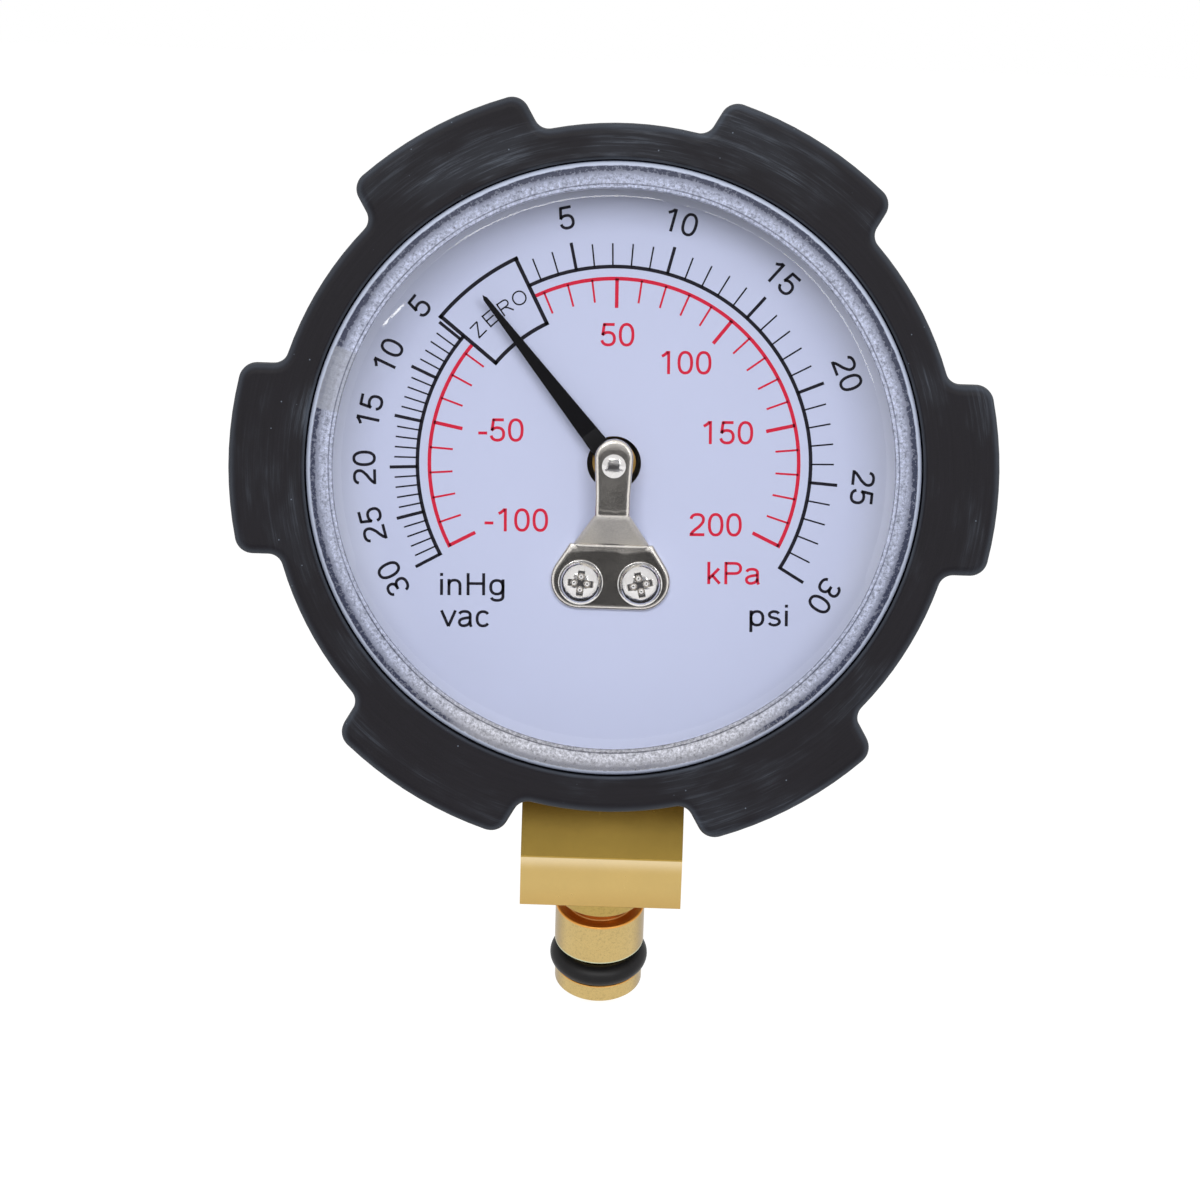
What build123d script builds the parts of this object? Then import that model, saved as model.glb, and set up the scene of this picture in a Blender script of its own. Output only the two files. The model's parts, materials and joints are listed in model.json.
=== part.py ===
from build123d import *
import os
from math import acos, atan2, cos, hypot, pi, radians, sin, tan

# Compound gauge for vacuum and low pressure, with a rubber boot and a plug-in stub.
# Everything is drawn about the pointer's axis, with y = 0 on the boot's front plane:
# +X right, +Y back, +Z up. The last step moves it all to the middle of the stub's nose.

# Window, whose skirt fits in the case
SKIRT_RADIUS = 29.3
SKIRT_WALL = 0.9
SKIRT_DEPTH = 2.6
SKIRT_CLEARANCE = 0.2
WINDOW_EDGE_FRONT = 0.9
WINDOW_BACK = 2.0
WINDOW_OVERHANG = 0.2
FROST_MARGIN = 0.4
FROST_WIDTH = 1.8
FROST_RISE = 0.45
LENS_BEVEL = 0.7
LENS_FRONT = -0.2

# Case
CASE_WALL = 1.1
CASE_FRONT = 2.8
CASE_BACK_WALL = 1.2
CASE_CORNER = 1.6
CASE_NOTCH_SHARE = 0.9
RIB_COUNT = 4
RIB_WIDTH = 1.6
RIB_HEIGHT = 1.3

# Boot
BOOT_CLEARANCE = 0.1
BOOT_LIP = 3.58
BOOT_EDGE = 1.0
BOOT_BAND = 2.0
BOOT_DRAFT = 4.5
BOOT_MOUTH_CLEARANCE = 0.12
BOOT_MOUTH_EDGE = 0.35
BOOT_BACK_WALL = 2.6
BOOT_BACK_MARGIN = 1.1
LUG_COUNT = 6
LUG_FIRST_ANGLE = 30.0
LUG_HEIGHT = 4.0
LUG_SIDE_WALL = 1.0
LUG_CORNER = 1.8
LUG_ROOT = 1.5

# Dial
DIAL_CLEARANCE = 0.3
DIAL_FRONT = 8.5
DIAL_THICKNESS = 0.5
DIAL_HOLE_RADIUS = 2.74

# Bridge in front of the dial
BRIDGE_THICKNESS = 0.7
BRIDGE_RISE = 3.0
HEAD_WIDTH = 3.85
HEAD_TOP = 2.7
NECK_WIDTH = 3.5
NECK_START = -3.0
RAMP_TOP = -5.0
FOOT_TOP = -8.2
FOOT_HEIGHT = 6.65
FOOT_WIDTH = 12.1
FOOT_SHOULDER_WIDTH = 8.4
FOOT_CORNER = 2.9
FOOT_CORNER_SHARE = 0.45
EAR_STEP = 0.4
EAR_CORNER = 0.3
BRIDGE_BEND = 0.55
BRIDGE_SCREW_SPACING = 6.0
BRIDGE_SCREW_DROP = 12.1

# Screws
BRIDGE_SCREW_HEAD_RADIUS = 2.03
BRIDGE_SCREW_HEAD_HEIGHT = 1.35
BRIDGE_SCREW_RADIUS = 1.0
BRIDGE_SCREW_LENGTH = 7.0
WASHER_RADIUS = 2.3
WASHER_THICKNESS = 0.35
BRACKET_SCREW_SPACING = 7.0
BRACKET_SCREW_DROP = 13.0
BRACKET_SCREW_LENGTH = 4.5
CASE_SCREW_SPACING = 10.0
CASE_SCREW_DROP = 19.5
CASE_SCREW_HEAD_RADIUS = 3.0
CASE_SCREW_HEAD_HEIGHT = 1.9
CASE_SCREW_RADIUS = 1.75
CASE_SCREW_LENGTH = 7.0
SEAL_RADIUS = 3.4
SEAL_THICKNESS = 0.5
SCREW_HOLE_CLEARANCE = 0.2
RECESS_WIDTH_SHARE = 0.3
RECESS_LENGTH_SHARE = 1.2
RECESS_DEPTH_SHARE = 0.6
HEAD_ROUNDING_SHARE = 0.6

# Socket block, upright inside the case and bent back below it
BLOCK_WIDTH = 16.5
BLOCK_THICKNESS = 11.0
BLOCK_TOP = -10.0
BLOCK_BEND_BELOW_LUG = 2.2
BLOCK_DROP = 6.3
BLOCK_BREAK = 0.15
BLOCK_CLEARANCE = 0.3
STUB_ANGLE = 30.0
DIAL_BOSS_RADIUS = 2.0
DIAL_BOSS_HEIGHT = 1.0
CASE_BOSS_RADIUS = 2.9
CASE_BOSS_HEIGHT = 3.0
PASSAGE_RADIUS = 1.2

# Stub, turned in one piece
THREAD_RADIUS = 3.0
THREAD_LENGTH = 4.4
BOSS_RADIUS = 4.6
BOSS_LENGTH = 2.2
CLIP_GROOVE_RADIUS = 3.4
CLIP_GROOVE_WIDTH = 1.25
COLLAR_RADIUS = 4.6
COLLAR_LENGTH = 4.85
SEAL_GROOVE_WIDTH = 3.1
NOSE_RADIUS = 4.5
NOSE_LENGTH = 1.85
NOSE_CHAMFER = 0.25
PORT_RADIUS = 1.5
PORT_DEPTH = 10.5
STUB_PASSAGE_RADIUS = 0.8
RING_SECTION_RADIUS = 1.08
RING_CENTRE_RADIUS = 3.97
RING_GAP = 0.02
RESTRICTOR_LENGTH = 2.0
RESTRICTOR_RADIUS = 1.2
RESTRICTOR_BORE_RADIUS = 0.25

# Coiled pressure tube
COIL_INNER_RADIUS = 3.5
COIL_PITCH = 1.3
COIL_HALF_TURNS = 9
TUBE_WIDTH = 2.6
TUBE_THICKNESS = 0.7
TUBE_WALL = 0.15
TUBE_CLEARANCE = 0.03
INLET_WIDTH = 3.8
INLET_DEPTH = 4.6
INLET_COVER = 0.4
INLET_BORE_RADIUS = 0.8
INLET_SPIGOT_LENGTH = 2.0

# Pointer and its shaft
POINTER_REST_ANGLE = -39.5
POINTER_LENGTH = 21.6
POINTER_ROOT_WIDTH = 2.2
POINTER_TIP_WIDTH = 0.45
POINTER_EYE_RADIUS = 1.75
POINTER_THICKNESS = 0.35
POINTER_FRONT = 6.5
HUB_RADIUS = 1.25
HUB_FLANGE_RADIUS = 1.7
HUB_FRONT = 6.0
HUB_BACK = 8.2
SHAFT_RADIUS = 1.0
SHAFT_SEAT_RADIUS = 0.7
PIVOT_RADIUS = 0.5
PIVOT_CLEARANCE = 0.03
PIVOT_LENGTH = 1.3
END_PLAY = 0.1
COLLET_RADIUS = 2.2
COLLET_FRONT = 9.9
COLLET_ARM_WIDTH = 2.0
COLLET_COVER = 0.6
COLLET_SCREW_RADIUS = 0.5
COLLET_SCREW_DEPTH = 12.0
COLLET_SCREW_SLOT = 0.3

# Bearings and rear bracket
DOME_RADIUS = 1.2
DOME_HEIGHT = 0.5
BEARING_BODY_RADIUS = 0.95
BEARING_REACH = 0.3
REAR_BRACKET_THICKNESS = 1.2
REAR_BRACKET_WIDTH = 12.0
REAR_BRACKET_CORNER = 0.9
REAR_BRACKET_FOOT_BOTTOM = -15.6
REAR_BRACKET_FOOT_TOP = -9.6
REAR_BRACKET_ARM_WIDTH = 6.0
REAR_BRACKET_HEAD_RADIUS = 3.4
REAR_BEARING_RADIUS = 1.5
REAR_BEARING_FLANGE_RADIUS = 2.3
REAR_BEARING_FLANGE = 0.8

# Pressure relief plug in the case's back
PLUG_HEIGHT = 15.0
PLUG_HEAD_RADIUS = 4.6
PLUG_HEAD_THICKNESS = 1.1
PLUG_RIM_THICKNESS = 0.44
PLUG_NECK_RADIUS = 3.4
PLUG_LIP_RADIUS = 4.0
PLUG_LIP_THICKNESS = 0.8
PLUG_DIMPLE_RADIUS = 2.0
PLUG_DIMPLE_DEPTH = 0.7

# Places worked out from the sizes above
TILT = radians(STUB_ANGLE)
CASE_INNER_RADIUS = SKIRT_RADIUS + SKIRT_CLEARANCE
CASE_RADIUS = CASE_INNER_RADIUS + CASE_WALL
WINDOW_RADIUS = CASE_RADIUS + WINDOW_OVERHANG
FROST_OUTER_RADIUS = WINDOW_RADIUS - FROST_MARGIN
FROST_INNER_RADIUS = FROST_OUTER_RADIUS - FROST_WIDTH
LENS_RADIUS = FROST_INNER_RADIUS - LENS_BEVEL
BOOT_MOUTH_RADIUS = WINDOW_RADIUS + BOOT_MOUTH_CLEARANCE
BOOT_RADIUS = BOOT_MOUTH_RADIUS + BOOT_LIP
BOOT_BACK_OPENING_RADIUS = CASE_SCREW_DROP + SEAL_RADIUS + BOOT_BACK_MARGIN
LUG_RADIUS = BOOT_RADIUS + LUG_HEIGHT
LUG_WIDTH = BLOCK_WIDTH + 2 * BLOCK_CLEARANCE + 2 * LUG_SIDE_WALL
DIAL_RADIUS = CASE_INNER_RADIUS - DIAL_CLEARANCE
DIAL_BACK = DIAL_FRONT + DIAL_THICKNESS
BLOCK_FRONT = DIAL_BACK + DIAL_BOSS_HEIGHT
BLOCK_BACK = BLOCK_FRONT + BLOCK_THICKNESS
BLOCK_MIDDLE = BLOCK_FRONT + BLOCK_THICKNESS / 2
BLOCK_BEND = -LUG_RADIUS - BLOCK_BEND_BELOW_LUG
CASE_INNER_BACK = BLOCK_BACK + CASE_BOSS_HEIGHT
CASE_BACK = CASE_INNER_BACK + CASE_BACK_WALL
BOOT_DEPTH = CASE_BACK + BOOT_BACK_WALL
FOOT_BACK = DIAL_FRONT
FOOT_BOTTOM = FOOT_TOP - FOOT_HEIGHT
HEAD_BACK = FOOT_BACK - BRIDGE_RISE
HEAD_FRONT = HEAD_BACK - BRIDGE_THICKNESS
BEARING_REAR = HEAD_BACK + BEARING_REACH
REAR_BRACKET_FRONT = BLOCK_BACK
REAR_BRACKET_BACK = BLOCK_BACK + REAR_BRACKET_THICKNESS
REAR_FLANGE_FRONT = REAR_BRACKET_FRONT - REAR_BEARING_FLANGE
COIL_MIDDLE = BLOCK_MIDDLE


def along_stub(distance, offset=0.0):
    """A point on the stub's axis, counted from the bend, or that far behind the axis."""
    front_y = BLOCK_FRONT + (BLOCK_THICKNESS / 2 + offset) * cos(TILT)
    front_z = BLOCK_BEND + (BLOCK_THICKNESS / 2 + offset) * sin(TILT)
    return (front_y + distance * sin(TILT), front_z - distance * cos(TILT))


STUB_LENGTH = (
    BOSS_LENGTH + CLIP_GROOVE_WIDTH + COLLAR_LENGTH + SEAL_GROOVE_WIDTH + NOSE_LENGTH + NOSE_CHAMFER
)
NOSE_MIDDLE = STUB_LENGTH - NOSE_CHAMFER - NOSE_LENGTH / 2
NOSE_Y, NOSE_Z = along_stub(BLOCK_DROP + NOSE_MIDDLE)


# Drawing helpers

def turned(*points):
    """A solid of revolution about the Y axis, from (radius, y) points."""
    return revolve(make_face(Polyline(*points, close=True)), Axis.Y)


def slab(sketch, front, back):
    """A plate parallel to the dial, between two depths."""
    return extrude(Plane.XZ.offset(-back) * sketch, back - front)


def round_bar(radius, front, back):
    """A cylinder along Y."""
    return slab(Circle(radius), front, back)


def ring(outer, inner, front, back):
    """A flat ring across Y."""
    return slab(Circle(outer) - Circle(inner), front, back)


def on_stub(shape):
    """Turn a shape drawn along +Y onto the stub's axis, from the block's lower face."""
    y, z = along_stub(BLOCK_DROP)
    return Location((0, y, z), (STUB_ANGLE - 90, 0, 0)) * shape


def pair(shape, spacing, z):
    """Two copies of a shape, side by side."""
    return [Pos(side * spacing / 2, 0, z) * shape for side in (-1, 1)]


def pan_screw(head_radius, head_height, radius, length):
    """A cross-recessed screw along Y, with its head in front of y = 0."""
    head = round_bar(head_radius, -head_height, 0)
    head = fillet(head.edges().group_by(Axis.Y)[0], head_height * HEAD_ROUNDING_SHARE)
    width = head_radius * RECESS_WIDTH_SHARE
    reach = head_radius * RECESS_LENGTH_SHARE
    cross = Rectangle(width, reach) + Rectangle(reach, width)
    recess = slab(cross, -head_height, -head_height * (1 - RECESS_DEPTH_SHARE))
    return head - recess + round_bar(radius, 0, length)


# Housing

def boot_outline(inset=0.0):
    """Round body with parallel-sided lugs, seen from the front, drawn in all round by the inset."""
    radius = BOOT_RADIUS - inset
    reach = LUG_RADIUS - inset
    outline = Circle(radius)
    lug = Pos(0, reach / 2) * Rectangle(LUG_WIDTH - 2 * inset, reach) & Circle(reach)
    for number in range(LUG_COUNT):
        outline += Rot(0, 0, LUG_FIRST_ANGLE + number * 360 / LUG_COUNT) * lug
    middle = (radius + reach) / 2
    tips = [v for v in outline.vertices() if hypot(v.X, v.Y) > middle]
    outline = fillet(tips, LUG_CORNER)
    roots = [v for v in outline.vertices() if hypot(v.X, v.Y) < radius + LUG_ROOT / 4]
    return fillet(roots, LUG_ROOT)


def block_opening(bottom, top):
    """The space that the socket block takes up, with room around it."""
    width = BLOCK_WIDTH + 2 * BLOCK_CLEARANCE
    height = top - bottom
    area = Pos(0, (bottom + top) / 2) * Rectangle(width, height)
    return slab(area, BLOCK_FRONT - BLOCK_CLEARANCE, BLOCK_BACK + BLOCK_CLEARANCE)


def rubber_boot():
    """A straight band at the front, then a drafted body that narrows to the back."""
    band = slab(boot_outline(), 0, BOOT_BAND)
    band = fillet(band.edges().group_by(Axis.Y)[0], BOOT_EDGE)
    inset = (BOOT_DEPTH - BOOT_BAND) * tan(radians(BOOT_DRAFT))
    wide_end = Plane.XZ.offset(-BOOT_BAND) * boot_outline()
    narrow_end = Plane.XZ.offset(-BOOT_DEPTH) * boot_outline(inset)
    drafted = loft([wide_end.face(), narrow_end.face()], ruled=True)
    drafted = fillet(drafted.edges().group_by(Axis.Y)[-1], BOOT_EDGE)
    body = band + drafted
    bore_radius = CASE_RADIUS + BOOT_CLEARANCE
    bore = turned(
        (0, -BOOT_EDGE),
        (BOOT_MOUTH_RADIUS + BOOT_MOUTH_EDGE + BOOT_EDGE, -BOOT_EDGE),
        (BOOT_MOUTH_RADIUS, BOOT_MOUTH_EDGE),
        (BOOT_MOUTH_RADIUS, CASE_FRONT),
        (bore_radius, CASE_FRONT),
        (bore_radius, CASE_BACK),
        (BOOT_BACK_OPENING_RADIUS, CASE_BACK),
        (BOOT_BACK_OPENING_RADIUS, BOOT_DEPTH + BOOT_EDGE),
        (0, BOOT_DEPTH + BOOT_EDGE),
    )
    return body - bore - block_opening(-LUG_RADIUS, -CASE_INNER_RADIUS)


def case_cup():
    outside = round_bar(CASE_RADIUS, CASE_FRONT, CASE_BACK)
    outside = fillet(outside.edges().group_by(Axis.Y)[-1], CASE_CORNER)
    cup = outside - round_bar(CASE_INNER_RADIUS, CASE_FRONT, CASE_INNER_BACK)
    rib_area = Pos(0, CASE_INNER_RADIUS) * Rectangle(RIB_WIDTH, 2 * RIB_HEIGHT)
    rib_area = rib_area & Circle(CASE_INNER_RADIUS + CASE_WALL / 2)
    for number in range(RIB_COUNT):
        angle = (number + 0.5) * 360 / RIB_COUNT
        cup += slab(Rot(0, 0, angle) * rib_area, DIAL_BACK, CASE_INNER_BACK + CASE_BACK_WALL / 2)
    cup -= block_opening(-CASE_RADIUS - CASE_WALL, -CASE_INNER_RADIUS * CASE_NOTCH_SHARE)
    hole = round_bar(CASE_SCREW_RADIUS + SCREW_HOLE_CLEARANCE, CASE_INNER_BACK, CASE_BACK)
    for cutter in pair(hole, CASE_SCREW_SPACING, -CASE_SCREW_DROP):
        cup -= cutter
    plug_hole = round_bar(PLUG_NECK_RADIUS, CASE_INNER_BACK, CASE_BACK)
    return cup - Pos(0, 0, PLUG_HEIGHT) * plug_hole


def blowout_plug():
    plug = turned(
        (0, CASE_INNER_BACK - PLUG_LIP_THICKNESS),
        (PLUG_NECK_RADIUS, CASE_INNER_BACK - PLUG_LIP_THICKNESS),
        (PLUG_LIP_RADIUS, CASE_INNER_BACK),
        (PLUG_NECK_RADIUS, CASE_INNER_BACK),
        (PLUG_NECK_RADIUS, CASE_BACK),
        (PLUG_HEAD_RADIUS, CASE_BACK),
        (PLUG_HEAD_RADIUS, CASE_BACK + PLUG_RIM_THICKNESS),
        (PLUG_NECK_RADIUS, CASE_BACK + PLUG_HEAD_THICKNESS),
        (PLUG_DIMPLE_RADIUS, CASE_BACK + PLUG_HEAD_THICKNESS),
        (PLUG_DIMPLE_RADIUS, CASE_BACK + PLUG_HEAD_THICKNESS - PLUG_DIMPLE_DEPTH),
        (0, CASE_BACK + PLUG_HEAD_THICKNESS - PLUG_DIMPLE_DEPTH),
    )
    return Pos(0, 0, PLUG_HEIGHT) * plug


def window():
    frost_front = WINDOW_EDGE_FRONT - FROST_RISE
    return turned(
        (0, LENS_FRONT),
        (LENS_RADIUS, LENS_FRONT),
        (FROST_INNER_RADIUS, frost_front),
        (FROST_OUTER_RADIUS, WINDOW_EDGE_FRONT - FROST_RISE / 3),
        (WINDOW_RADIUS, WINDOW_EDGE_FRONT),
        (WINDOW_RADIUS, WINDOW_BACK),
        (SKIRT_RADIUS, WINDOW_BACK),
        (SKIRT_RADIUS, WINDOW_BACK + SKIRT_DEPTH),
        (SKIRT_RADIUS - SKIRT_WALL, WINDOW_BACK + SKIRT_DEPTH),
        (SKIRT_RADIUS - SKIRT_WALL, WINDOW_BACK),
        (0, WINDOW_BACK),
    )


def window_gasket():
    return ring(CASE_RADIUS, CASE_INNER_RADIUS, WINDOW_BACK, CASE_FRONT)


def dial_plate():
    plate = ring(DIAL_RADIUS, DIAL_HOLE_RADIUS, DIAL_FRONT, DIAL_BACK)
    hole = round_bar(BRIDGE_SCREW_RADIUS + SCREW_HOLE_CLEARANCE, DIAL_FRONT, DIAL_BACK)
    for cutter in pair(hole, BRIDGE_SCREW_SPACING, -BRIDGE_SCREW_DROP):
        plate -= cutter
    return plate


# Front bridge and its fasteners

def bridge_outline():
    """Round head, narrow neck, flared ramp and round-cornered foot, seen from the front."""
    head_middle = HEAD_TOP - HEAD_WIDTH / 2
    diagonal = HEAD_WIDTH / 2 * cos(pi / 4)
    corner = min(FOOT_CORNER, FOOT_CORNER_SHARE * FOOT_HEIGHT)
    corner_x = FOOT_WIDTH / 2 - corner
    corner_z = FOOT_BOTTOM + corner
    shoulder = (FOOT_SHOULDER_WIDTH / 2, FOOT_TOP)
    to_shoulder = (shoulder[0] - corner_x, shoulder[1] - corner_z)
    touch_angle = atan2(to_shoulder[1], to_shoulder[0]) - acos(corner / hypot(*to_shoulder))

    def on_corner(angle):
        return (corner_x + corner * cos(angle), corner_z + corner * sin(angle))

    touch = on_corner(touch_angle)
    side = Curve() + [
        ThreePointArc(
            (0, HEAD_TOP), (diagonal, head_middle + diagonal), (HEAD_WIDTH / 2, head_middle)
        ),
        Polyline(
            (HEAD_WIDTH / 2, head_middle),
            (NECK_WIDTH / 2, NECK_START),
            (NECK_WIDTH / 2, RAMP_TOP),
            (FOOT_SHOULDER_WIDTH / 2 - EAR_STEP, FOOT_TOP),
            shoulder,
            touch,
        ),
        ThreePointArc(touch, on_corner((touch_angle - pi / 2) / 2), on_corner(-pi / 2)),
        Line(on_corner(-pi / 2), (0, FOOT_BOTTOM)),
    ]
    outline = make_face(side.edges() + mirror(side, about=Plane.YZ).edges())
    ears = [v for v in outline.vertices() if abs(abs(v.X) - shoulder[0]) + abs(v.Y - FOOT_TOP) < EAR_STEP / 4]
    return fillet(ears, EAR_CORNER)


def front_bridge():
    half = BRIDGE_THICKNESS / 2
    path = FilletPolyline(
        (FOOT_BACK - half, FOOT_BOTTOM),
        (FOOT_BACK - half, FOOT_TOP),
        (HEAD_BACK - half, RAMP_TOP),
        (HEAD_BACK - half, HEAD_TOP),
        radius=BRIDGE_BEND,
    )
    sheet = extrude(Plane.YZ * trace(path, BRIDGE_THICKNESS), FOOT_WIDTH, both=True)
    blank = slab(bridge_outline(), HEAD_FRONT - half, FOOT_BACK + half)
    bridge = sheet & blank
    bridge -= round_bar(BEARING_BODY_RADIUS, HEAD_FRONT, HEAD_BACK)
    hole = round_bar(BRIDGE_SCREW_RADIUS + SCREW_HOLE_CLEARANCE, HEAD_FRONT, FOOT_BACK)
    for cutter in pair(hole, BRIDGE_SCREW_SPACING, -BRIDGE_SCREW_DROP):
        bridge -= cutter
    return bridge


def bridge_bearing():
    """Domed bush pressed through the bridge's head, with a blind hole for the pivot."""
    dome_sphere = (DOME_RADIUS**2 + DOME_HEIGHT**2) / (2 * DOME_HEIGHT)
    ball = Pos(0, HEAD_FRONT - DOME_HEIGHT + dome_sphere, 0) * Sphere(dome_sphere)
    dome = ball & round_bar(DOME_RADIUS, HEAD_FRONT - DOME_HEIGHT, HEAD_FRONT)
    body = dome + round_bar(BEARING_BODY_RADIUS, HEAD_FRONT, BEARING_REAR)
    hole_front = BEARING_REAR - PIVOT_LENGTH
    return body - round_bar(PIVOT_RADIUS + PIVOT_CLEARANCE, hole_front, BEARING_REAR)


def bridge_screws():
    screw = pan_screw(
        BRIDGE_SCREW_HEAD_RADIUS, BRIDGE_SCREW_HEAD_HEIGHT, BRIDGE_SCREW_RADIUS, BRIDGE_SCREW_LENGTH
    )
    seat = FOOT_BACK - BRIDGE_THICKNESS - WASHER_THICKNESS
    return pair(Pos(0, seat, 0) * screw, BRIDGE_SCREW_SPACING, -BRIDGE_SCREW_DROP)


def screw_washers():
    back = FOOT_BACK - BRIDGE_THICKNESS
    washer = ring(
        WASHER_RADIUS, BRIDGE_SCREW_RADIUS + SCREW_HOLE_CLEARANCE, back - WASHER_THICKNESS, back
    )
    return pair(washer, BRIDGE_SCREW_SPACING, -BRIDGE_SCREW_DROP)


# Socket block, stub and seal

def block_profile():
    """The bent bar, seen from the side, as (y, z) points."""
    lower_front = along_stub(BLOCK_DROP, -BLOCK_THICKNESS / 2)
    lower_back = along_stub(BLOCK_DROP, BLOCK_THICKNESS / 2)
    inner_corner = BLOCK_BEND + BLOCK_THICKNESS * tan(TILT / 2)
    return make_face(
        Polyline(
            (BLOCK_FRONT, BLOCK_TOP),
            (BLOCK_FRONT, BLOCK_BEND),
            lower_front,
            lower_back,
            (BLOCK_BACK, inner_corner),
            (BLOCK_BACK, BLOCK_TOP),
            close=True,
        )
    )


def socket_block():
    block = extrude(Plane.YZ * block_profile(), BLOCK_WIDTH / 2, both=True)
    block = chamfer(block.edges().filter_by(Axis.X), BLOCK_BREAK)
    dial_boss = round_bar(DIAL_BOSS_RADIUS, DIAL_BACK, BLOCK_FRONT)
    for boss in pair(dial_boss, BRIDGE_SCREW_SPACING, -BRIDGE_SCREW_DROP):
        block += boss
    case_boss = round_bar(CASE_BOSS_RADIUS, BLOCK_BACK, CASE_INNER_BACK)
    for boss in pair(case_boss, CASE_SCREW_SPACING, -CASE_SCREW_DROP):
        block += boss
    front_seat = FOOT_BACK - BRIDGE_THICKNESS - WASHER_THICKNESS
    front_hole = round_bar(BRIDGE_SCREW_RADIUS, DIAL_BACK, front_seat + BRIDGE_SCREW_LENGTH)
    for cutter in pair(front_hole, BRIDGE_SCREW_SPACING, -BRIDGE_SCREW_DROP):
        block -= cutter
    bracket_hole = round_bar(
        BRIDGE_SCREW_RADIUS, REAR_BRACKET_BACK - BRACKET_SCREW_LENGTH, BLOCK_BACK
    )
    for cutter in pair(bracket_hole, BRACKET_SCREW_SPACING, -BRACKET_SCREW_DROP):
        block -= cutter
    case_hole_front = CASE_BACK + SEAL_THICKNESS - CASE_SCREW_LENGTH
    case_hole = round_bar(CASE_SCREW_RADIUS, case_hole_front, CASE_INNER_BACK)
    for cutter in pair(case_hole, CASE_SCREW_SPACING, -CASE_SCREW_DROP):
        block -= cutter
    return block - passages()


def passages():
    """The upright passage, the angled one that meets it, and the stub's threaded hole."""
    to_meeting = (BLOCK_MIDDLE - along_stub(0)[0]) / sin(TILT)
    meeting_z = along_stub(to_meeting)[1]
    upright = Pos(0, BLOCK_MIDDLE, (BLOCK_TOP + meeting_z) / 2) * Cylinder(
        PASSAGE_RADIUS, BLOCK_TOP - meeting_z
    )
    angled = on_stub(round_bar(PASSAGE_RADIUS, to_meeting - BLOCK_DROP, 0))
    thread = on_stub(round_bar(THREAD_RADIUS, -THREAD_LENGTH, 0))
    return upright + angled + thread


def stub_fitting():
    clip_start = BOSS_LENGTH
    collar_start = clip_start + CLIP_GROOVE_WIDTH
    groove_start = collar_start + COLLAR_LENGTH
    nose_start = groove_start + SEAL_GROOVE_WIDTH
    groove_radius = RING_CENTRE_RADIUS - RING_SECTION_RADIUS - RING_GAP
    port_top = STUB_LENGTH - PORT_DEPTH
    fitting = turned(
        (STUB_PASSAGE_RADIUS, -THREAD_LENGTH),
        (THREAD_RADIUS, -THREAD_LENGTH),
        (THREAD_RADIUS, 0),
        (BOSS_RADIUS, 0),
        (BOSS_RADIUS, clip_start),
        (CLIP_GROOVE_RADIUS, clip_start),
        (CLIP_GROOVE_RADIUS, collar_start),
        (COLLAR_RADIUS, collar_start),
        (COLLAR_RADIUS, groove_start),
        (groove_radius, groove_start),
        (groove_radius, nose_start),
        (NOSE_RADIUS, nose_start),
        (NOSE_RADIUS, STUB_LENGTH - NOSE_CHAMFER),
        (NOSE_RADIUS - NOSE_CHAMFER, STUB_LENGTH),
        (PORT_RADIUS, STUB_LENGTH),
        (PORT_RADIUS, port_top),
        (RESTRICTOR_RADIUS, port_top),
        (RESTRICTOR_RADIUS, port_top - RESTRICTOR_LENGTH),
        (STUB_PASSAGE_RADIUS, port_top - RESTRICTOR_LENGTH),
    )
    return on_stub(fitting)


def o_ring():
    """It lies against the nose, at the lower end of its groove."""
    nose_start = BOSS_LENGTH + CLIP_GROOVE_WIDTH + COLLAR_LENGTH + SEAL_GROOVE_WIDTH
    middle = nose_start - RING_SECTION_RADIUS - RING_GAP
    section = Pos(RING_CENTRE_RADIUS, middle) * Circle(RING_SECTION_RADIUS)
    return on_stub(revolve(section, Axis.Y))


def restrictor():
    port_top = STUB_LENGTH - PORT_DEPTH
    start = port_top - RESTRICTOR_LENGTH
    return on_stub(ring(RESTRICTOR_RADIUS, RESTRICTOR_BORE_RADIUS, start, port_top))


# Coiled tube and its two ends

def tube_section(width, thickness):
    """Racetrack section, wide along the shaft and thin across the coil."""
    return SlotOverall(width, thickness)


def half_turn(number, section):
    """One half turn of the coil, from the inside out. Even ones run down the right side."""
    radius = COIL_INNER_RADIUS + number * COIL_PITCH / 2
    starts_up = number % 2 == 0
    centre = 0.0 if starts_up else COIL_PITCH / 2
    start = centre + radius if starts_up else centre - radius
    plane = Plane(origin=(0, COIL_MIDDLE, start), x_dir=(0, 1, 0), z_dir=(1, 0, 0))
    return revolve(plane * section, Axis((0, 0, centre), (0, 1, 0)), 180)


def pressure_coil():
    section = tube_section(TUBE_WIDTH, TUBE_THICKNESS)
    section -= tube_section(TUBE_WIDTH - 2 * TUBE_WALL, TUBE_THICKNESS - 2 * TUBE_WALL)
    coil = half_turn(0, section)
    for number in range(1, COIL_HALF_TURNS):
        coil += half_turn(number, section)
    return coil


def tube_slot(number):
    """The space for one half turn of the tube in the piece that it is soldered into."""
    room = 2 * TUBE_CLEARANCE
    return half_turn(number, tube_section(TUBE_WIDTH + room, TUBE_THICKNESS + room))


def coil_end(number):
    """Where that half turn ends, as a height."""
    radius = COIL_INNER_RADIUS + number * COIL_PITCH / 2
    return -radius if number % 2 == 0 else COIL_PITCH / 2 + radius


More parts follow.
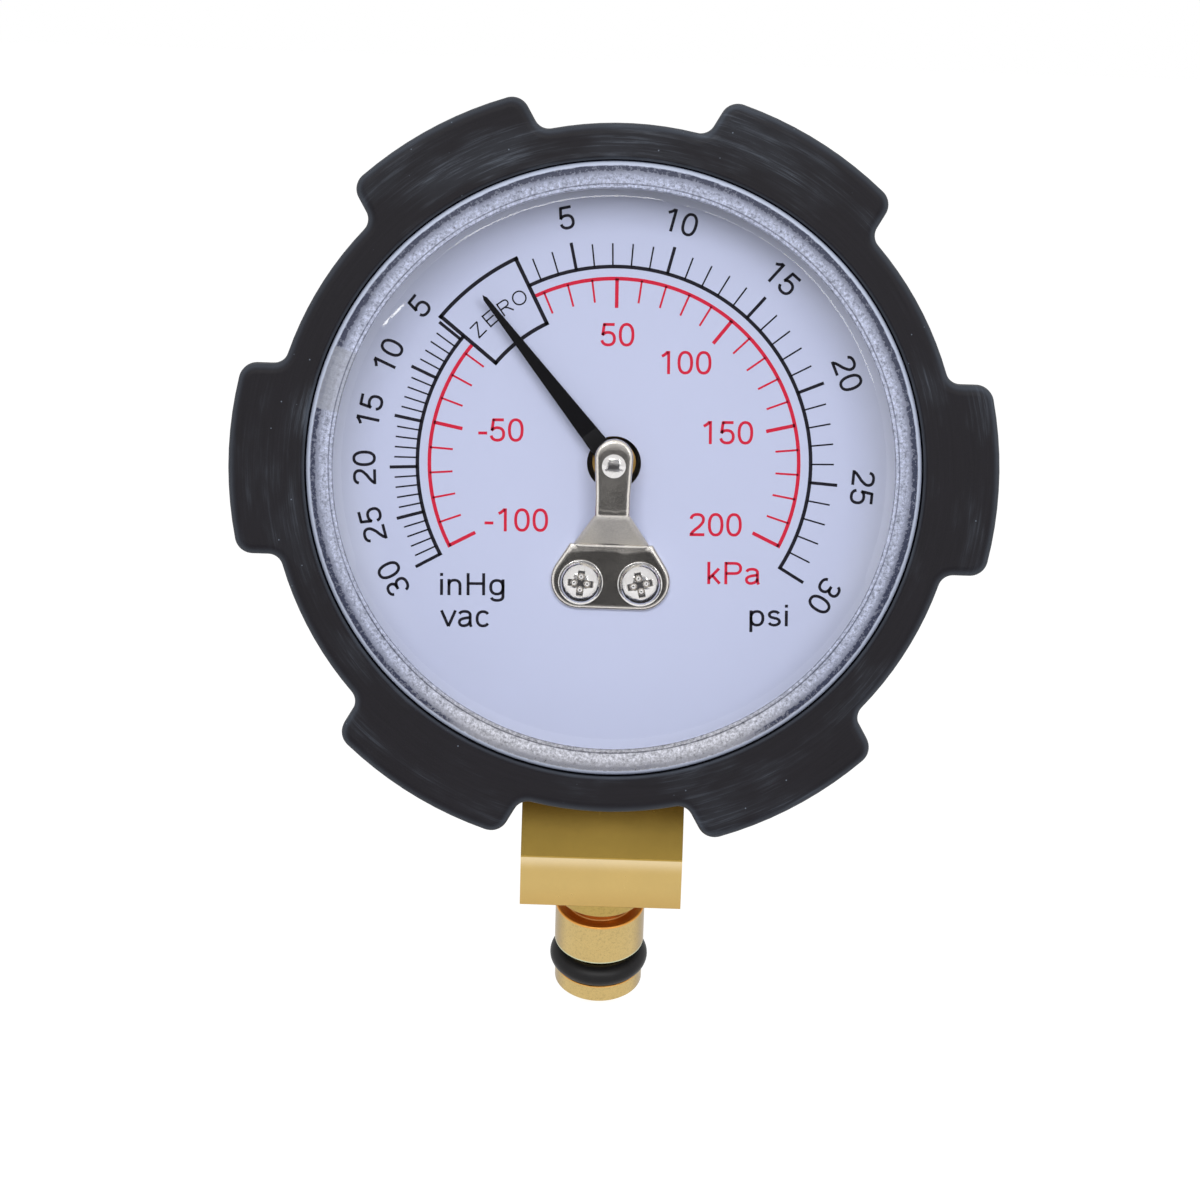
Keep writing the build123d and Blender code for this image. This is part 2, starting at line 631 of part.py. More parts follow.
def tube_inlet():
    """Soldered nipple on the block's top, holding the coil's outer end."""
    tube_height = coil_end(COIL_HALF_TURNS - 1)
    top = tube_height + TUBE_THICKNESS / 2 + INLET_COVER
    area = Pos(0, (top + BLOCK_TOP) / 2) * Rectangle(INLET_WIDTH, top - BLOCK_TOP)
    body = slab(area, COIL_MIDDLE - INLET_DEPTH / 2, COIL_MIDDLE + INLET_DEPTH / 2)
    spigot_middle = BLOCK_TOP - INLET_SPIGOT_LENGTH / 2
    body += Pos(0, COIL_MIDDLE, spigot_middle) * Cylinder(PASSAGE_RADIUS, INLET_SPIGOT_LENGTH)
    bore_bottom = BLOCK_TOP - INLET_SPIGOT_LENGTH
    bore = Pos(0, COIL_MIDDLE, (bore_bottom + tube_height) / 2) * Cylinder(
        INLET_BORE_RADIUS, tube_height - bore_bottom
    )
    return body - bore - tube_slot(COIL_HALF_TURNS - 1)


def coil_collet():
    """Collar on the shaft, with an arm that holds the coil's inner end."""
    back = COIL_MIDDLE + TUBE_WIDTH / 2 + COLLET_COVER
    top = COIL_INNER_RADIUS + TUBE_THICKNESS / 2 + COLLET_COVER / 2
    arm_area = Pos(0, top / 2) * Rectangle(COLLET_ARM_WIDTH, top)
    arm = slab(arm_area, COIL_MIDDLE - TUBE_WIDTH / 2 - COLLET_COVER, back)
    body = round_bar(COLLET_RADIUS, COLLET_FRONT, back) + arm
    body -= round_bar(SHAFT_RADIUS, COLLET_FRONT, back)
    body -= Pos(0, COLLET_SCREW_DEPTH, -COLLET_RADIUS / 2) * Cylinder(COLLET_SCREW_RADIUS, COLLET_RADIUS)
    return body - tube_slot(0)


def collet_screw():
    """Grub screw that locks the collet to the shaft."""
    length = COLLET_RADIUS - SHAFT_RADIUS
    middle = -(COLLET_RADIUS + SHAFT_RADIUS) / 2
    screw = Pos(0, COLLET_SCREW_DEPTH, middle) * Cylinder(COLLET_SCREW_RADIUS, length)
    slot_top = -COLLET_RADIUS + COLLET_SCREW_SLOT
    slot = Pos(0, COLLET_SCREW_DEPTH, slot_top - length / 2) * Box(
        COLLET_SCREW_SLOT, 2 * COLLET_SCREW_RADIUS, length
    )
    return screw - slot


# Pointer, shaft and rear bearing

def pointer():
    """Tapered blade on a round eye, turned to its zero."""
    blade = make_face(
        Polyline(
            (-POINTER_ROOT_WIDTH / 2, 0),
            (POINTER_ROOT_WIDTH / 2, 0),
            (POINTER_TIP_WIDTH / 2, POINTER_LENGTH - POINTER_TIP_WIDTH),
            (0, POINTER_LENGTH),
            (-POINTER_TIP_WIDTH / 2, POINTER_LENGTH - POINTER_TIP_WIDTH),
            close=True,
        )
    )
    outline = blade + Circle(POINTER_EYE_RADIUS) - Circle(HUB_RADIUS)
    plate = slab(outline, POINTER_FRONT, POINTER_FRONT + POINTER_THICKNESS)
    return Rot(0, POINTER_REST_ANGLE, 0) * plate


def pointer_hub():
    return turned(
        (SHAFT_SEAT_RADIUS, HUB_FRONT),
        (HUB_RADIUS, HUB_FRONT),
        (HUB_RADIUS, POINTER_FRONT + POINTER_THICKNESS),
        (HUB_FLANGE_RADIUS, POINTER_FRONT + POINTER_THICKNESS),
        (HUB_FLANGE_RADIUS, HUB_BACK),
        (SHAFT_SEAT_RADIUS, HUB_BACK),
    )


def arbor():
    """Pointer shaft, with a pivot at each end."""
    rear_shoulder = REAR_FLANGE_FRONT - END_PLAY
    pivot_front = BEARING_REAR - PIVOT_LENGTH + END_PLAY
    return turned(
        (0, pivot_front),
        (PIVOT_RADIUS, pivot_front),
        (PIVOT_RADIUS, HUB_FRONT),
        (SHAFT_SEAT_RADIUS, HUB_FRONT),
        (SHAFT_SEAT_RADIUS, HUB_BACK),
        (SHAFT_RADIUS, HUB_BACK),
        (SHAFT_RADIUS, rear_shoulder),
        (PIVOT_RADIUS, rear_shoulder),
        (PIVOT_RADIUS, REAR_BRACKET_BACK),
        (0, REAR_BRACKET_BACK),
    )


def rear_bracket():
    """Flat plate screwed to the block's back, carrying the rear bearing."""
    foot_height = REAR_BRACKET_FOOT_TOP - REAR_BRACKET_FOOT_BOTTOM
    foot_middle = (REAR_BRACKET_FOOT_TOP + REAR_BRACKET_FOOT_BOTTOM) / 2
    outline = Pos(0, foot_middle) * RectangleRounded(REAR_BRACKET_WIDTH, foot_height, REAR_BRACKET_CORNER)
    arm_middle = REAR_BRACKET_FOOT_TOP / 2
    outline += Pos(0, arm_middle) * Rectangle(REAR_BRACKET_ARM_WIDTH, -REAR_BRACKET_FOOT_TOP)
    outline += Circle(REAR_BRACKET_HEAD_RADIUS)
    outline -= Circle(REAR_BEARING_RADIUS)
    for side in (-1, 1):
        hole = Circle(BRIDGE_SCREW_RADIUS + SCREW_HOLE_CLEARANCE)
        outline -= Pos(side * BRACKET_SCREW_SPACING / 2, -BRACKET_SCREW_DROP) * hole
    return slab(outline, REAR_BRACKET_FRONT, REAR_BRACKET_BACK)


def rear_bearing():
    """Flanged bush pressed into the rear bracket."""
    bore = PIVOT_RADIUS + PIVOT_CLEARANCE
    return turned(
        (bore, REAR_FLANGE_FRONT),
        (REAR_BEARING_FLANGE_RADIUS, REAR_FLANGE_FRONT),
        (REAR_BEARING_FLANGE_RADIUS, REAR_BRACKET_FRONT),
        (REAR_BEARING_RADIUS, REAR_BRACKET_FRONT),
        (REAR_BEARING_RADIUS, REAR_BRACKET_BACK),
        (bore, REAR_BRACKET_BACK),
    )


def bracket_screws():
    screw = pan_screw(
        BRIDGE_SCREW_HEAD_RADIUS, BRIDGE_SCREW_HEAD_HEIGHT, BRIDGE_SCREW_RADIUS, BRACKET_SCREW_LENGTH
    )
    placed = Pos(0, REAR_BRACKET_BACK, 0) * Rot(0, 0, 180) * screw
    return pair(placed, BRACKET_SCREW_SPACING, -BRACKET_SCREW_DROP)


def case_screws():
    screw = pan_screw(
        CASE_SCREW_HEAD_RADIUS, CASE_SCREW_HEAD_HEIGHT, CASE_SCREW_RADIUS, CASE_SCREW_LENGTH
    )
    placed = Pos(0, CASE_BACK + SEAL_THICKNESS, 0) * Rot(0, 0, 180) * screw
    return pair(placed, CASE_SCREW_SPACING, -CASE_SCREW_DROP)


def case_screw_seals():
    seal = ring(SEAL_RADIUS, CASE_SCREW_RADIUS, CASE_BACK, CASE_BACK + SEAL_THICKNESS)
    return pair(seal, CASE_SCREW_SPACING, -CASE_SCREW_DROP)


PIECES = (
    rubber_boot,
    case_cup,
    blowout_plug,
    window,
    window_gasket,
    dial_plate,
    front_bridge,
    bridge_bearing,
    bridge_screws,
    screw_washers,
    rear_bracket,
    rear_bearing,
    bracket_screws,
    socket_block,
    case_screws,
    case_screw_seals,
    pressure_coil,
    tube_inlet,
    stub_fitting,
    o_ring,
    restrictor,
    pointer,
    pointer_hub,
    arbor,
    coil_collet,
    collet_screw,
)


def export_all():
    """Each piece goes to its own file, measured from the middle of the stub's nose."""
    os.makedirs("parts", exist_ok=True)
    for make in PIECES:
        made = make()
        solids = made if isinstance(made, list) else [made]
        placed = [Pos(0, -NOSE_Y, -NOSE_Z) * solid for part in solids for solid in part.solids()]
        shape = placed[0] if len(placed) == 1 else Compound(placed)
        shape.label = make.__name__
        export_step(shape, f"parts/{make.__name__}.step")


if __name__ == "__main__":
    export_all()
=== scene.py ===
import json
from math import copysign, cos, pi, radians, sin

import bmesh
import bpy
from mathutils import Matrix, Vector


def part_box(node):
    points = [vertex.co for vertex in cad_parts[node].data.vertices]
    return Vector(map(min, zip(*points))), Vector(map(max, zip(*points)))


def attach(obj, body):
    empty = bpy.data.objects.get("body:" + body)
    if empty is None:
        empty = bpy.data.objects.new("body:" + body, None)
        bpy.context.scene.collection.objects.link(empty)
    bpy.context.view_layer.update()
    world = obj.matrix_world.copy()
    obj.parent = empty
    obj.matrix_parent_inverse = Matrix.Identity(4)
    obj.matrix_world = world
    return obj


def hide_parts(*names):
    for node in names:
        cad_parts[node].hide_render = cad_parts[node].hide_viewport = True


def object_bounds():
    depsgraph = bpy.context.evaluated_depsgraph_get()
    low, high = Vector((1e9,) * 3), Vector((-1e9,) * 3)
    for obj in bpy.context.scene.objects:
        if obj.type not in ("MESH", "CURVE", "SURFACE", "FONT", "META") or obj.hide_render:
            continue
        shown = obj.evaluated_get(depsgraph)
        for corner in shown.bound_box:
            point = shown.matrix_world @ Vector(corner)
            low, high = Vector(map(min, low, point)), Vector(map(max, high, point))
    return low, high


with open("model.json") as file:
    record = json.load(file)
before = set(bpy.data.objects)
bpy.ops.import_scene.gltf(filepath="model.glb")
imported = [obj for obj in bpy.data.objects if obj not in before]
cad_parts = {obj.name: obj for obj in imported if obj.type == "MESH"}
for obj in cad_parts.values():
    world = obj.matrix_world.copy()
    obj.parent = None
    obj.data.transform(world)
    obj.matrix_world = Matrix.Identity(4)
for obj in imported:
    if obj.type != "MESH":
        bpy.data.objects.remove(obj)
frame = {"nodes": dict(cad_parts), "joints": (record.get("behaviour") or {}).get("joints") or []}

bl_info = {
    "name": "Vacuum Pressure Gauge",
    "version": (1, 0, 0),
    "blender": (4, 5, 0),
    "location": "View3D > Sidebar > Gauge",
    "description": "Window, dial print, fittings and finishes for the packed gauge, and its stage",
    "category": "Object",
}

# Places taken from the frame
MM = 0.001
SAME_PLACE = 0.001 * MM
LOADED_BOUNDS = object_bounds()
PIVOT = Vector(frame["joints"][0]["pos_m"])
DIAL_AXIS = Vector((0, 1, 0))
UPRIGHT = (pi / 2, 0, 0)
FOUR_WAYS = (Vector((1, 0, 0)), Vector((-1, 0, 0)), Vector((0, 0, 1)), Vector((0, 0, -1)))
STUB_AXIS = Vector((0, 0.5, -0.8660254))
STUB_SIDE = Vector((1, 0, 0))
STUB_LEAN = (radians(-30), 0, 0)
DIAL_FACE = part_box("dial_plate")[0].y
BLOCK_BEND_LEVEL = -40.7 * MM
STUB_NOSE_MIDDLE = 12.325


def metres(**spans):
    """Pairs of sizes, written in millimetres."""
    return {name: (low * MM, high * MM) for name, (low, high) in spans.items()}


def tone(red, green, blue):
    """A colour as a paint card gives it, from 0 to 255, as the shader wants it."""
    def part(value):
        share = value / 255
        return share / 12.92 if share <= 0.04045 else ((share + 0.055) / 1.055) ** 2.4
    return (part(red), part(green), part(blue), 1.0)


def number(name, description, default, **kind):
    return bpy.props.FloatProperty(name=name, description=description, default=default, **kind)


def length(name, description, default):
    """A size in metres."""
    return number(name, description, default, unit="LENGTH", precision=5)


def turn(name, description, default):
    """An angle, written in degrees."""
    return number(name, description, radians(default), subtype="ANGLE")


def colour(name, description, default):
    """A finish's colour."""
    return bpy.props.FloatVectorProperty(
        name=name, description=description, default=default, subtype="COLOR", size=4, min=0, max=1
    )


class WindowSizes(bpy.types.PropertyGroup):
    """Depths are counted from the boot's front plane, backwards."""

    flat_radius: length("Flat radius", "Flat clear part of the window", 0.0268)
    lens_radius: length("Lens radius", "Outside of the rounded clear edge", 0.02805)
    lens_slope: turn("Lens slope", "How far the clear edge has turned at its outside", 36.0)
    lens_front: length("Lens front", "Depth of the clear face", -0.0002)
    step_radius: length("Step radius", "Foot of the polished step round the lens", 0.02850)
    step_depth: length("Step depth", "Depth of that foot", 0.00044)
    frost_radius: length("Frost radius", "Outer edge of the grained band", 0.03040)
    rim_radius: length("Rim radius", "Outside of the window", 0.0308)
    rim_back: length("Rim back", "Depth of the rim's seat on the case", 0.0020)
    skirt_radius: length("Skirt radius", "Outside of the skirt in the case", 0.0293)
    skirt_wall: length("Skirt wall", "Thickness of the skirt", 0.0009)
    skirt_back: length("Skirt back", "Depth that the skirt reaches", 0.0046)


class PrintSizes(bpy.types.PropertyGroup):
    """Angles are counted clockwise from the top of the dial."""

    zero_angle: turn("Zero angle", "Where both scales start", -39.45)
    pressure_step: turn("Step for 1 psi", "Angle of one division of pressure", 5.3333)
    vacuum_step: turn("Step for 1 inHg", "Angle of one division of vacuum", 2.6667)
    red_pressure_step: turn("Step for 10 kPa", "Angle of ten kilopascals of pressure", 7.722)
    red_vacuum_step: turn("Step for -10 kPa", "Angle of ten kilopascals of vacuum", 7.893)
    black_arc_radius: length("Black arc radius", "Middle of the black arc", 0.01987)
    red_arc_radius: length("Red arc radius", "Middle of the red arc", 0.01866)
    arc_width: length("Arc width", "Line width of both arcs", 0.00037)
    number_radius: length("Number radius", "Foot of the outer numbers", 0.02407)
    number_height: length("Number height", "Height of the outer numbers", 0.00234)
    ink_thickness: length("Ink thickness", "How far the print stands off the dial", 0.00002)
    word_tilt: turn("Word tilt", "How far the upright words lean", -1.4)


class FittingSizes(bpy.types.PropertyGroup):
    screw_head_radius: length("Screw head radius", "Bridge screws", 0.00203)
    screw_head_height: length("Screw head height", "Bridge screws", 0.00135)
    recess_reach: length("Recess reach", "Centre to tip of the cross recess", 0.00146)
    recess_width: length("Recess width", "Width of an arm of the cross recess", 0.00076)
    recess_depth: length("Recess depth", "Depth of the arms of the cross recess", 0.00055)
    edge_roll: length("Bridge edge roll", "Width of the stamped edges' rounding", 0.00056)
    dome_height: length("Dome height", "How far the front bearing's dome rises", 0.0005)
    stub_edge: length("Stub edge", "Rounding of the turned edges", 0.00016)
    pointer_edge: length("Pointer edge", "Rounding of the pointer's edges", 0.00008)
    pointer_crease: length("Pointer crease", "Distance of the blade's bend from its axis", 0.0041)
    crease_drop: length("Crease drop", "Depth of the blade's bend", 0.00010)


class FinishColours(bpy.types.PropertyGroup):
    rubber: colour("Boot rubber", "Moulded black rubber", tone(27, 25, 30))
    # Dust and scuffs on the boot, and the painted highlight on its rounded front edge
    rubber_dust: colour("Rubber dust", "Specks and scuffs on the boot", tone(124, 134, 148))
    seal: colour("Seal rubber", "Seal ring and other seals", tone(18, 17, 19))
    case: colour("Case paint", "Black paint", tone(24, 24, 26))
    dial: colour("Dial paint", "Bluish white", tone(203, 209, 235))
    black_ink: colour("Black ink", "Print", tone(20, 17, 30))
    red_ink: colour("Red ink", "Print", tone(219, 30, 62))
    pointer: colour("Pointer paint", "Black", tone(9, 8, 11))
    bridge: colour("Bridge steel", "Stamped and plated", tone(228, 222, 212))
    plated: colour("Plated steel", "Screws, washers and bearing", tone(232, 229, 224))
    block: colour("Block brass", "Drawn bar", tone(197, 169, 107))
    stub: colour("Stub brass", "Turned", tone(191, 167, 112))
    # Painted shade in the clip groove
    groove: colour("Groove brass", "Floor of the clip groove", tone(166, 116, 68))
    inner: colour("Inner brass", "Tube and shaft parts", tone(200, 160, 90))
    frost_pale: colour("Frost, pale", "Grained band of the window", tone(190, 196, 219))
    # Painted shade in the grained band, and the painted dark refraction lines at the step
    frost_dark: colour("Frost, dark", "Grain of the band", tone(30, 36, 62))
    frost_gate: colour("Frost, gate", "Smoother patch of the band", tone(172, 175, 186))
    # Painted highlight on the window's edge
    rim_light: colour("Rim light", "Polished outside of the window", tone(206, 215, 236))


class StageSettings(bpy.types.PropertyGroup):
    """The camera is placed from the pointer's axis on the boot's front plane."""

    camera_distance: length("Camera distance", "In front of the boot", 0.600)
    camera_height: length("Camera height", "Above the pointer's axis", 0.05033)
    aim_side: length("Aim, sideways", "Point looked at", -0.000966)
    aim_height: length("Aim, height", "Point looked at", -0.013044)
    camera_roll: turn("Camera roll", "Lean of the picture", 1.8)
    lens_mm: number("Lens", "Focal length in millimetres", 181.2, min=1.0)
    ambient: number("Ambient light", "World light on matt surfaces", 0.40, min=0.0)
    key_power: number("Key lamp", "Lamp at the upper left, in watts", 5.5, min=0.0)
    fill_power: number("Fill lamp", "Lamp at the right, in watts", 3.6, min=0.0)
    card_level: number("Dark card", "Brightness that flat metal and the lens mirror", 0.07, min=0.0)
    floor_tone: colour("Floor", "Pale floor", tone(160, 160, 162))


# Modelling helpers

def at(x, y, z):
    """A place counted from the pointer's axis on the boot's front plane, in millimetres."""
    return PIVOT + Vector((x, y, z)) * MM


def around(angle, radius, depth):
    """A place at a clockwise angle from the top and a radius, both seen from the front."""
    return PIVOT + Vector((sin(angle) * radius, depth, cos(angle) * radius))


def clear_selection():
    active = bpy.context.view_layer.objects.active
    if active is not None and active.mode != "OBJECT":
        object_mode()
    bpy.ops.object.select_all(action="DESELECT")


def take(piece):
    """Selects one object alone and makes it the active one."""
    clear_selection()
    piece.select_set(True)
    bpy.context.view_layer.objects.active = piece
    return piece


def name_it(name):
    piece = bpy.context.view_layer.objects.active
    piece.name = name
    piece.data.name = name
    return piece


def edit(kind="FACE"):
    """Edit mode with everything selected."""
    bpy.ops.object.mode_set(mode="EDIT")
    bpy.ops.mesh.select_mode(type=kind)
    bpy.ops.mesh.select_all(action="SELECT")


def object_mode():
    bpy.ops.object.mode_set(mode="OBJECT")


def settle():
    """The active piece's place and turn go into its mesh."""
    bpy.ops.object.transform_apply(location=True, rotation=True, scale=True)


def push(offset):
    """Extrudes the selected faces."""
    bpy.ops.mesh.extrude_region_move(TRANSFORM_OT_translate={"value": offset})


def choose(piece, kind, test):
    """In edit mode, selects the vertices, edges or faces that pass a test, and no others."""
    names = {"VERT": "verts", "EDGE": "edges", "FACE": "faces"}
    bpy.ops.mesh.select_mode(type=kind)
    bpy.ops.mesh.select_all(action="DESELECT")
    mesh = bmesh.from_edit_mesh(piece.data)
    chosen = [part for part in getattr(mesh, names[kind]) if test(part)]
    for part in chosen:
        part.select_set(True)
    bmesh.update_edit_mesh(piece.data)
    return len(chosen)


def leave(piece, smooth=35.0):
    """Out of edit mode, with the place in the mesh, outward faces and soft shading."""
    take(piece)
    settle()
    edit()
    bpy.ops.mesh.remove_doubles(threshold=SAME_PLACE)
    bpy.ops.mesh.normals_make_consistent(inside=False)
    object_mode()
    bpy.ops.object.shade_smooth_by_angle(angle=radians(smooth))
    return piece


def modify(piece, kind, **settings):
    """Adds a modifier and applies it."""
    take(piece)
    added = piece.modifiers.new(kind.title(), kind)
    for name, value in settings.items():
        setattr(added, name, value)
    bpy.ops.object.modifier_apply(modifier=added.name)
    return piece


def cut_with(piece, tool):
    """Takes a tool's shape out of a piece, and the tool away."""
    modify(piece, "BOOLEAN", operation="DIFFERENCE", object=tool, solver="EXACT")
    bpy.data.objects.remove(tool)


def chained(name, places):
    """A chain of vertices drawn from one, left in edit mode."""
    clear_selection()
    bpy.ops.mesh.primitive_plane_add(size=MM, location=places[0])
    piece = name_it(name)
    edit("VERT")
    bpy.ops.mesh.merge(type="CENTER")
    for here, there in zip(places, places[1:]):
        bpy.ops.mesh.extrude_vertices_move(TRANSFORM_OT_translate={"value": there - here})
    bpy.ops.mesh.select_all(action="SELECT")
    return piece


def spun(name, profile, sides=96, sweep=2 * pi, centre=PIVOT, axis=DIAL_AXIS, side=Vector((0, 0, 1))):
    """A chain of (radius, depth) points on one side of an axis, spun about it."""
    piece = chained(name, [centre + side * radius + axis * depth for radius, depth in profile])
    bpy.ops.mesh.spin(steps=sides, angle=sweep, center=centre, axis=-axis)
    return piece


def closed(profile):
    return profile + profile[:1]


def arc_points(centre, radius, first, last, count):
    """Points of a rounded corner in a profile, between two angles in degrees."""
    step = (last - first) / (count - 1)
    angles = [radians(first + step * number) for number in range(count)]
    return [(centre[0] + radius * cos(a), centre[1] + radius * sin(a)) for a in angles]


def rounded_face(start, rounding, front, turned, steps):
    """Points of a face that curves back from a radius, until it has turned by an angle."""
    angles = [turned * number / steps for number in range(steps + 1)]
    return [(start + rounding * sin(a), front + rounding * (1 - cos(a))) for a in angles]


def middle_of(edge):
    """An edge's middle, counted from the pointer's axis."""
    return (edge.verts[0].co + edge.verts[1].co) / 2 - PIVOT


def copy_of(node, name):
    """A copy of a CAD node, with its loose triangles joined into whole faces."""
    clear_selection()
    piece = bpy.data.objects.new(name, frame["nodes"][node].data.copy())
    bpy.context.scene.collection.objects.link(piece)
    take(piece)
    name_it(name)
    bpy.ops.mesh.customdata_custom_splitnormals_clear()
    edit("VERT")
    bpy.ops.mesh.remove_doubles(threshold=SAME_PLACE)
    bpy.ops.mesh.dissolve_limited(angle_limit=radians(0.5))
    object_mode()
    return piece


def twin(piece, name, matrix):
    """A copy of a finished piece with its own mesh, moved by a matrix."""
    made = bpy.data.objects.new(name, piece.data.copy())
    bpy.context.scene.collection.objects.link(made)
    made.data.name = name
    made.data.transform(matrix)
    return made


def join(pieces, name):
    clear_selection()
    for piece in pieces:
        piece.select_set(True)
    bpy.context.view_layer.objects.active = pieces[0]
    if len(pieces) > 1:
        bpy.ops.object.join()
    return name_it(name)


def wear(piece, *finishes):
    """Gives a piece its finishes, one for each material slot."""
    piece.data.materials.clear()
    for worn in finishes:
        piece.data.materials.append(worn)


def paint_node(node, worn):
    """A CAD node keeps its mesh and gets a finish."""
    target = frame["nodes"][node]
    if not target.material_slots:
        target.data.materials.append(worn)
    for slot in target.material_slots:
        slot.material = worn


def hand_over(piece, finish_name, record_slot, *nodes, body="housing"):
    """The piece gets its finish, rides on a body and stands for CAD nodes, which it hides; its record slot
    is not used.
    """
    if finish_name:
        wear(piece, finish(finish_name))
    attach(piece, body)
    if nodes:
        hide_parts(*nodes)


# Finishes

class Link:
    """A socket in a finish. Arithmetic on it adds Math nodes."""

    def __init__(self, finish, socket):
        self.finish = finish
        self.socket = socket


def joined_by(operation, turned=False):
    """A method that adds one Math node; turned is for a plain number on the left."""
    def method(self, other):
        values = (other, self) if turned else (self, other)
        return self.finish.maths(operation, *values)
    return method


for symbol, operation in (("add", "ADD"), ("sub", "SUBTRACT"), ("mul", "MULTIPLY"), ("pow", "POWER")):
    setattr(Link, f"__{symbol}__", joined_by(operation))
    setattr(Link, f"__r{symbol}__", joined_by(operation, turned=True))


class Finish:
    """The nodes of a material or a world, with the patterns that the gauge's finishes share."""

    def __init__(self, owner):
        owner.use_nodes = True
        self.owner = owner
        self.nodes = owner.node_tree.nodes
        self.links = owner.node_tree.links
        self.nodes.clear()

    def node(self, kind, values=None, **settings):
        """Adds a node, with its settings first and then its sockets; returns its outputs."""
        made = self.nodes.new(kind)
        for name, setting in settings.items():
            setattr(made, name, setting)
        for key, value in (values or {}).items():
            socket = self.find(made.inputs, key)
            if isinstance(value, Link):
                self.links.new(value.socket, socket)
            else:
                socket.default_value = value
        outputs = {socket.name: Link(self, socket) for socket in made.outputs}
        outputs.update({socket.identifier: Link(self, socket) for socket in made.outputs})
        return outputs

    def find(self, sockets, key):
        if isinstance(key, int):
            return sockets[key]
        return next((s for s in sockets if s.identifier == key), None) or sockets[key]

    def maths(self, operation, *values):
        return self.node("ShaderNodeMath", dict(enumerate(values)), operation=operation)["Value"]

    def place(self):
        """Object coordinates, counted from the pointer's axis."""
        coordinates = self.node("ShaderNodeTexCoord")["Object"]
        return self.node("ShaderNodeMapping", {"Vector": coordinates, "Location": -PIVOT})["Vector"]

    def round_axis(self):
        """The place, its depth and height, and its radius and clockwise angle about the pointer's axis."""
        place = self.place()
        x, y, z = self.parts(place)
        return place, y, z, *self.polar(x, z)

    def along_stub(self):
        """Object coordinates turned so that Z runs up the stub and the origin is in its nose."""
        coordinates = self.node("ShaderNodeTexCoord")["Object"]
        return self.node("ShaderNodeMapping", {"Vector": coordinates, "Rotation": STUB_LEAN})["Vector"]

    def parts(self, vector):
        made = self.node("ShaderNodeSeparateXYZ", {"Vector": vector})
        return made["X"], made["Y"], made["Z"]

    def vector(self, x, y, z):
        return self.node("ShaderNodeCombineXYZ", {"X": x, "Y": y, "Z": z})["Vector"]

    def polar(self, across, up):
        """Radius and clockwise angle from two coordinates."""
        return (across * across + up * up) ** 0.5, self.maths("ARCTAN2", across, up)

    def swept(self, angle, reach, along):
        """A place that runs round a small circle with the angle, for streaks without a seam."""
        across, up = (self.maths(operation, angle) * reach for operation in ("COSINE", "SINE"))
        return self.vector(across, up, along)

    def noise(self, vector, scale, detail=2.0, roughness=0.5):
        values = {"Vector": vector, "Scale": scale, "Detail": detail, "Roughness": roughness}
        return self.node("ShaderNodeTexNoise", values)["Fac"]

    def cells(self, vector, scale):
        """Distance to the nearest speck, and a shade that differs from speck to speck."""
        made = self.node("ShaderNodeTexVoronoi", {"Vector": vector, "Scale": scale})
        shade = self.node("ShaderNodeSeparateColor", {"Color": made["Color"]})["Red"]
        return made["Distance"], shade

    def step(self, value, low, high):
        """A soft step from 0 at low to 1 at high."""
        values = {"Value": value, "From Min": low, "From Max": high}
        return self.node("ShaderNodeMapRange", values, interpolation_type="SMOOTHSTEP")["Result"]

    def band(self, value, low, high, soft):
        """1 between low and high, with soft edges."""
        return self.step(value, low - soft, low + soft) * (1 - self.step(value, high - soft, high + soft))

    def mix(self, factor, first, second):
        values = {"Factor_Float": factor, "A_Color": first, "B_Color": second}
        return self.node("ShaderNodeMix", values, data_type="RGBA")["Result_Color"]

    def dim(self, shade, factor):
        """The colour times a number that may vary."""
        grey = self.node("ShaderNodeCombineColor", {"Red": factor, "Green": factor, "Blue": factor})
        values = {"Factor_Float": 1.0, "A_Color": shade, "B_Color": grey["Color"]}
        return self.node("ShaderNodeMix", values, data_type="RGBA", blend_type="MULTIPLY")["Result_Color"]

    def bump(self, height, distance, strength=1.0, normal=None):
        values = {"Height": height, "Distance": distance, "Strength": strength}
        if normal is not None:
            values["Normal"] = normal
        return self.node("ShaderNodeBump", values)["Normal"]

    def done(self, surface, output="ShaderNodeOutputMaterial"):
        self.node(output, {"Surface": surface})
        return self.owner

    def surface(self, shade, rough, normal, **values):
        """The whole finish as one shader."""
        named = {name.replace("_", " "): value for name, value in values.items()}
        named.update({"Base Color": shade, "Roughness": rough, "Normal": normal})
        return self.done(self.node("ShaderNodeBsdfPrincipled", named)["BSDF"])


def shade_of(name):
    return tuple(getattr(bpy.context.scene.gauge_colours, name))


def new_finish(name):
    return Finish(bpy.data.materials.new(name))


def even_finish(make, tint, noises, shade, rough, bumps, **values):
    """Nothing but clouds and grain: shade and rough are a plain share, then one for each noise."""
    place = make.place()
    fields = [make.noise(place, scale, detail) for scale, detail in noises]

    def blend(total, *shares):
        for field, share in zip(fields, shares):
            total = total + field * share
        return total

    normal = None
    for field, height, strength in bumps:
        normal = make.bump(fields[field], height, strength, normal)
    return make.surface(make.dim(shade_of(tint), blend(*shade)), blend(*rough), normal, **values)


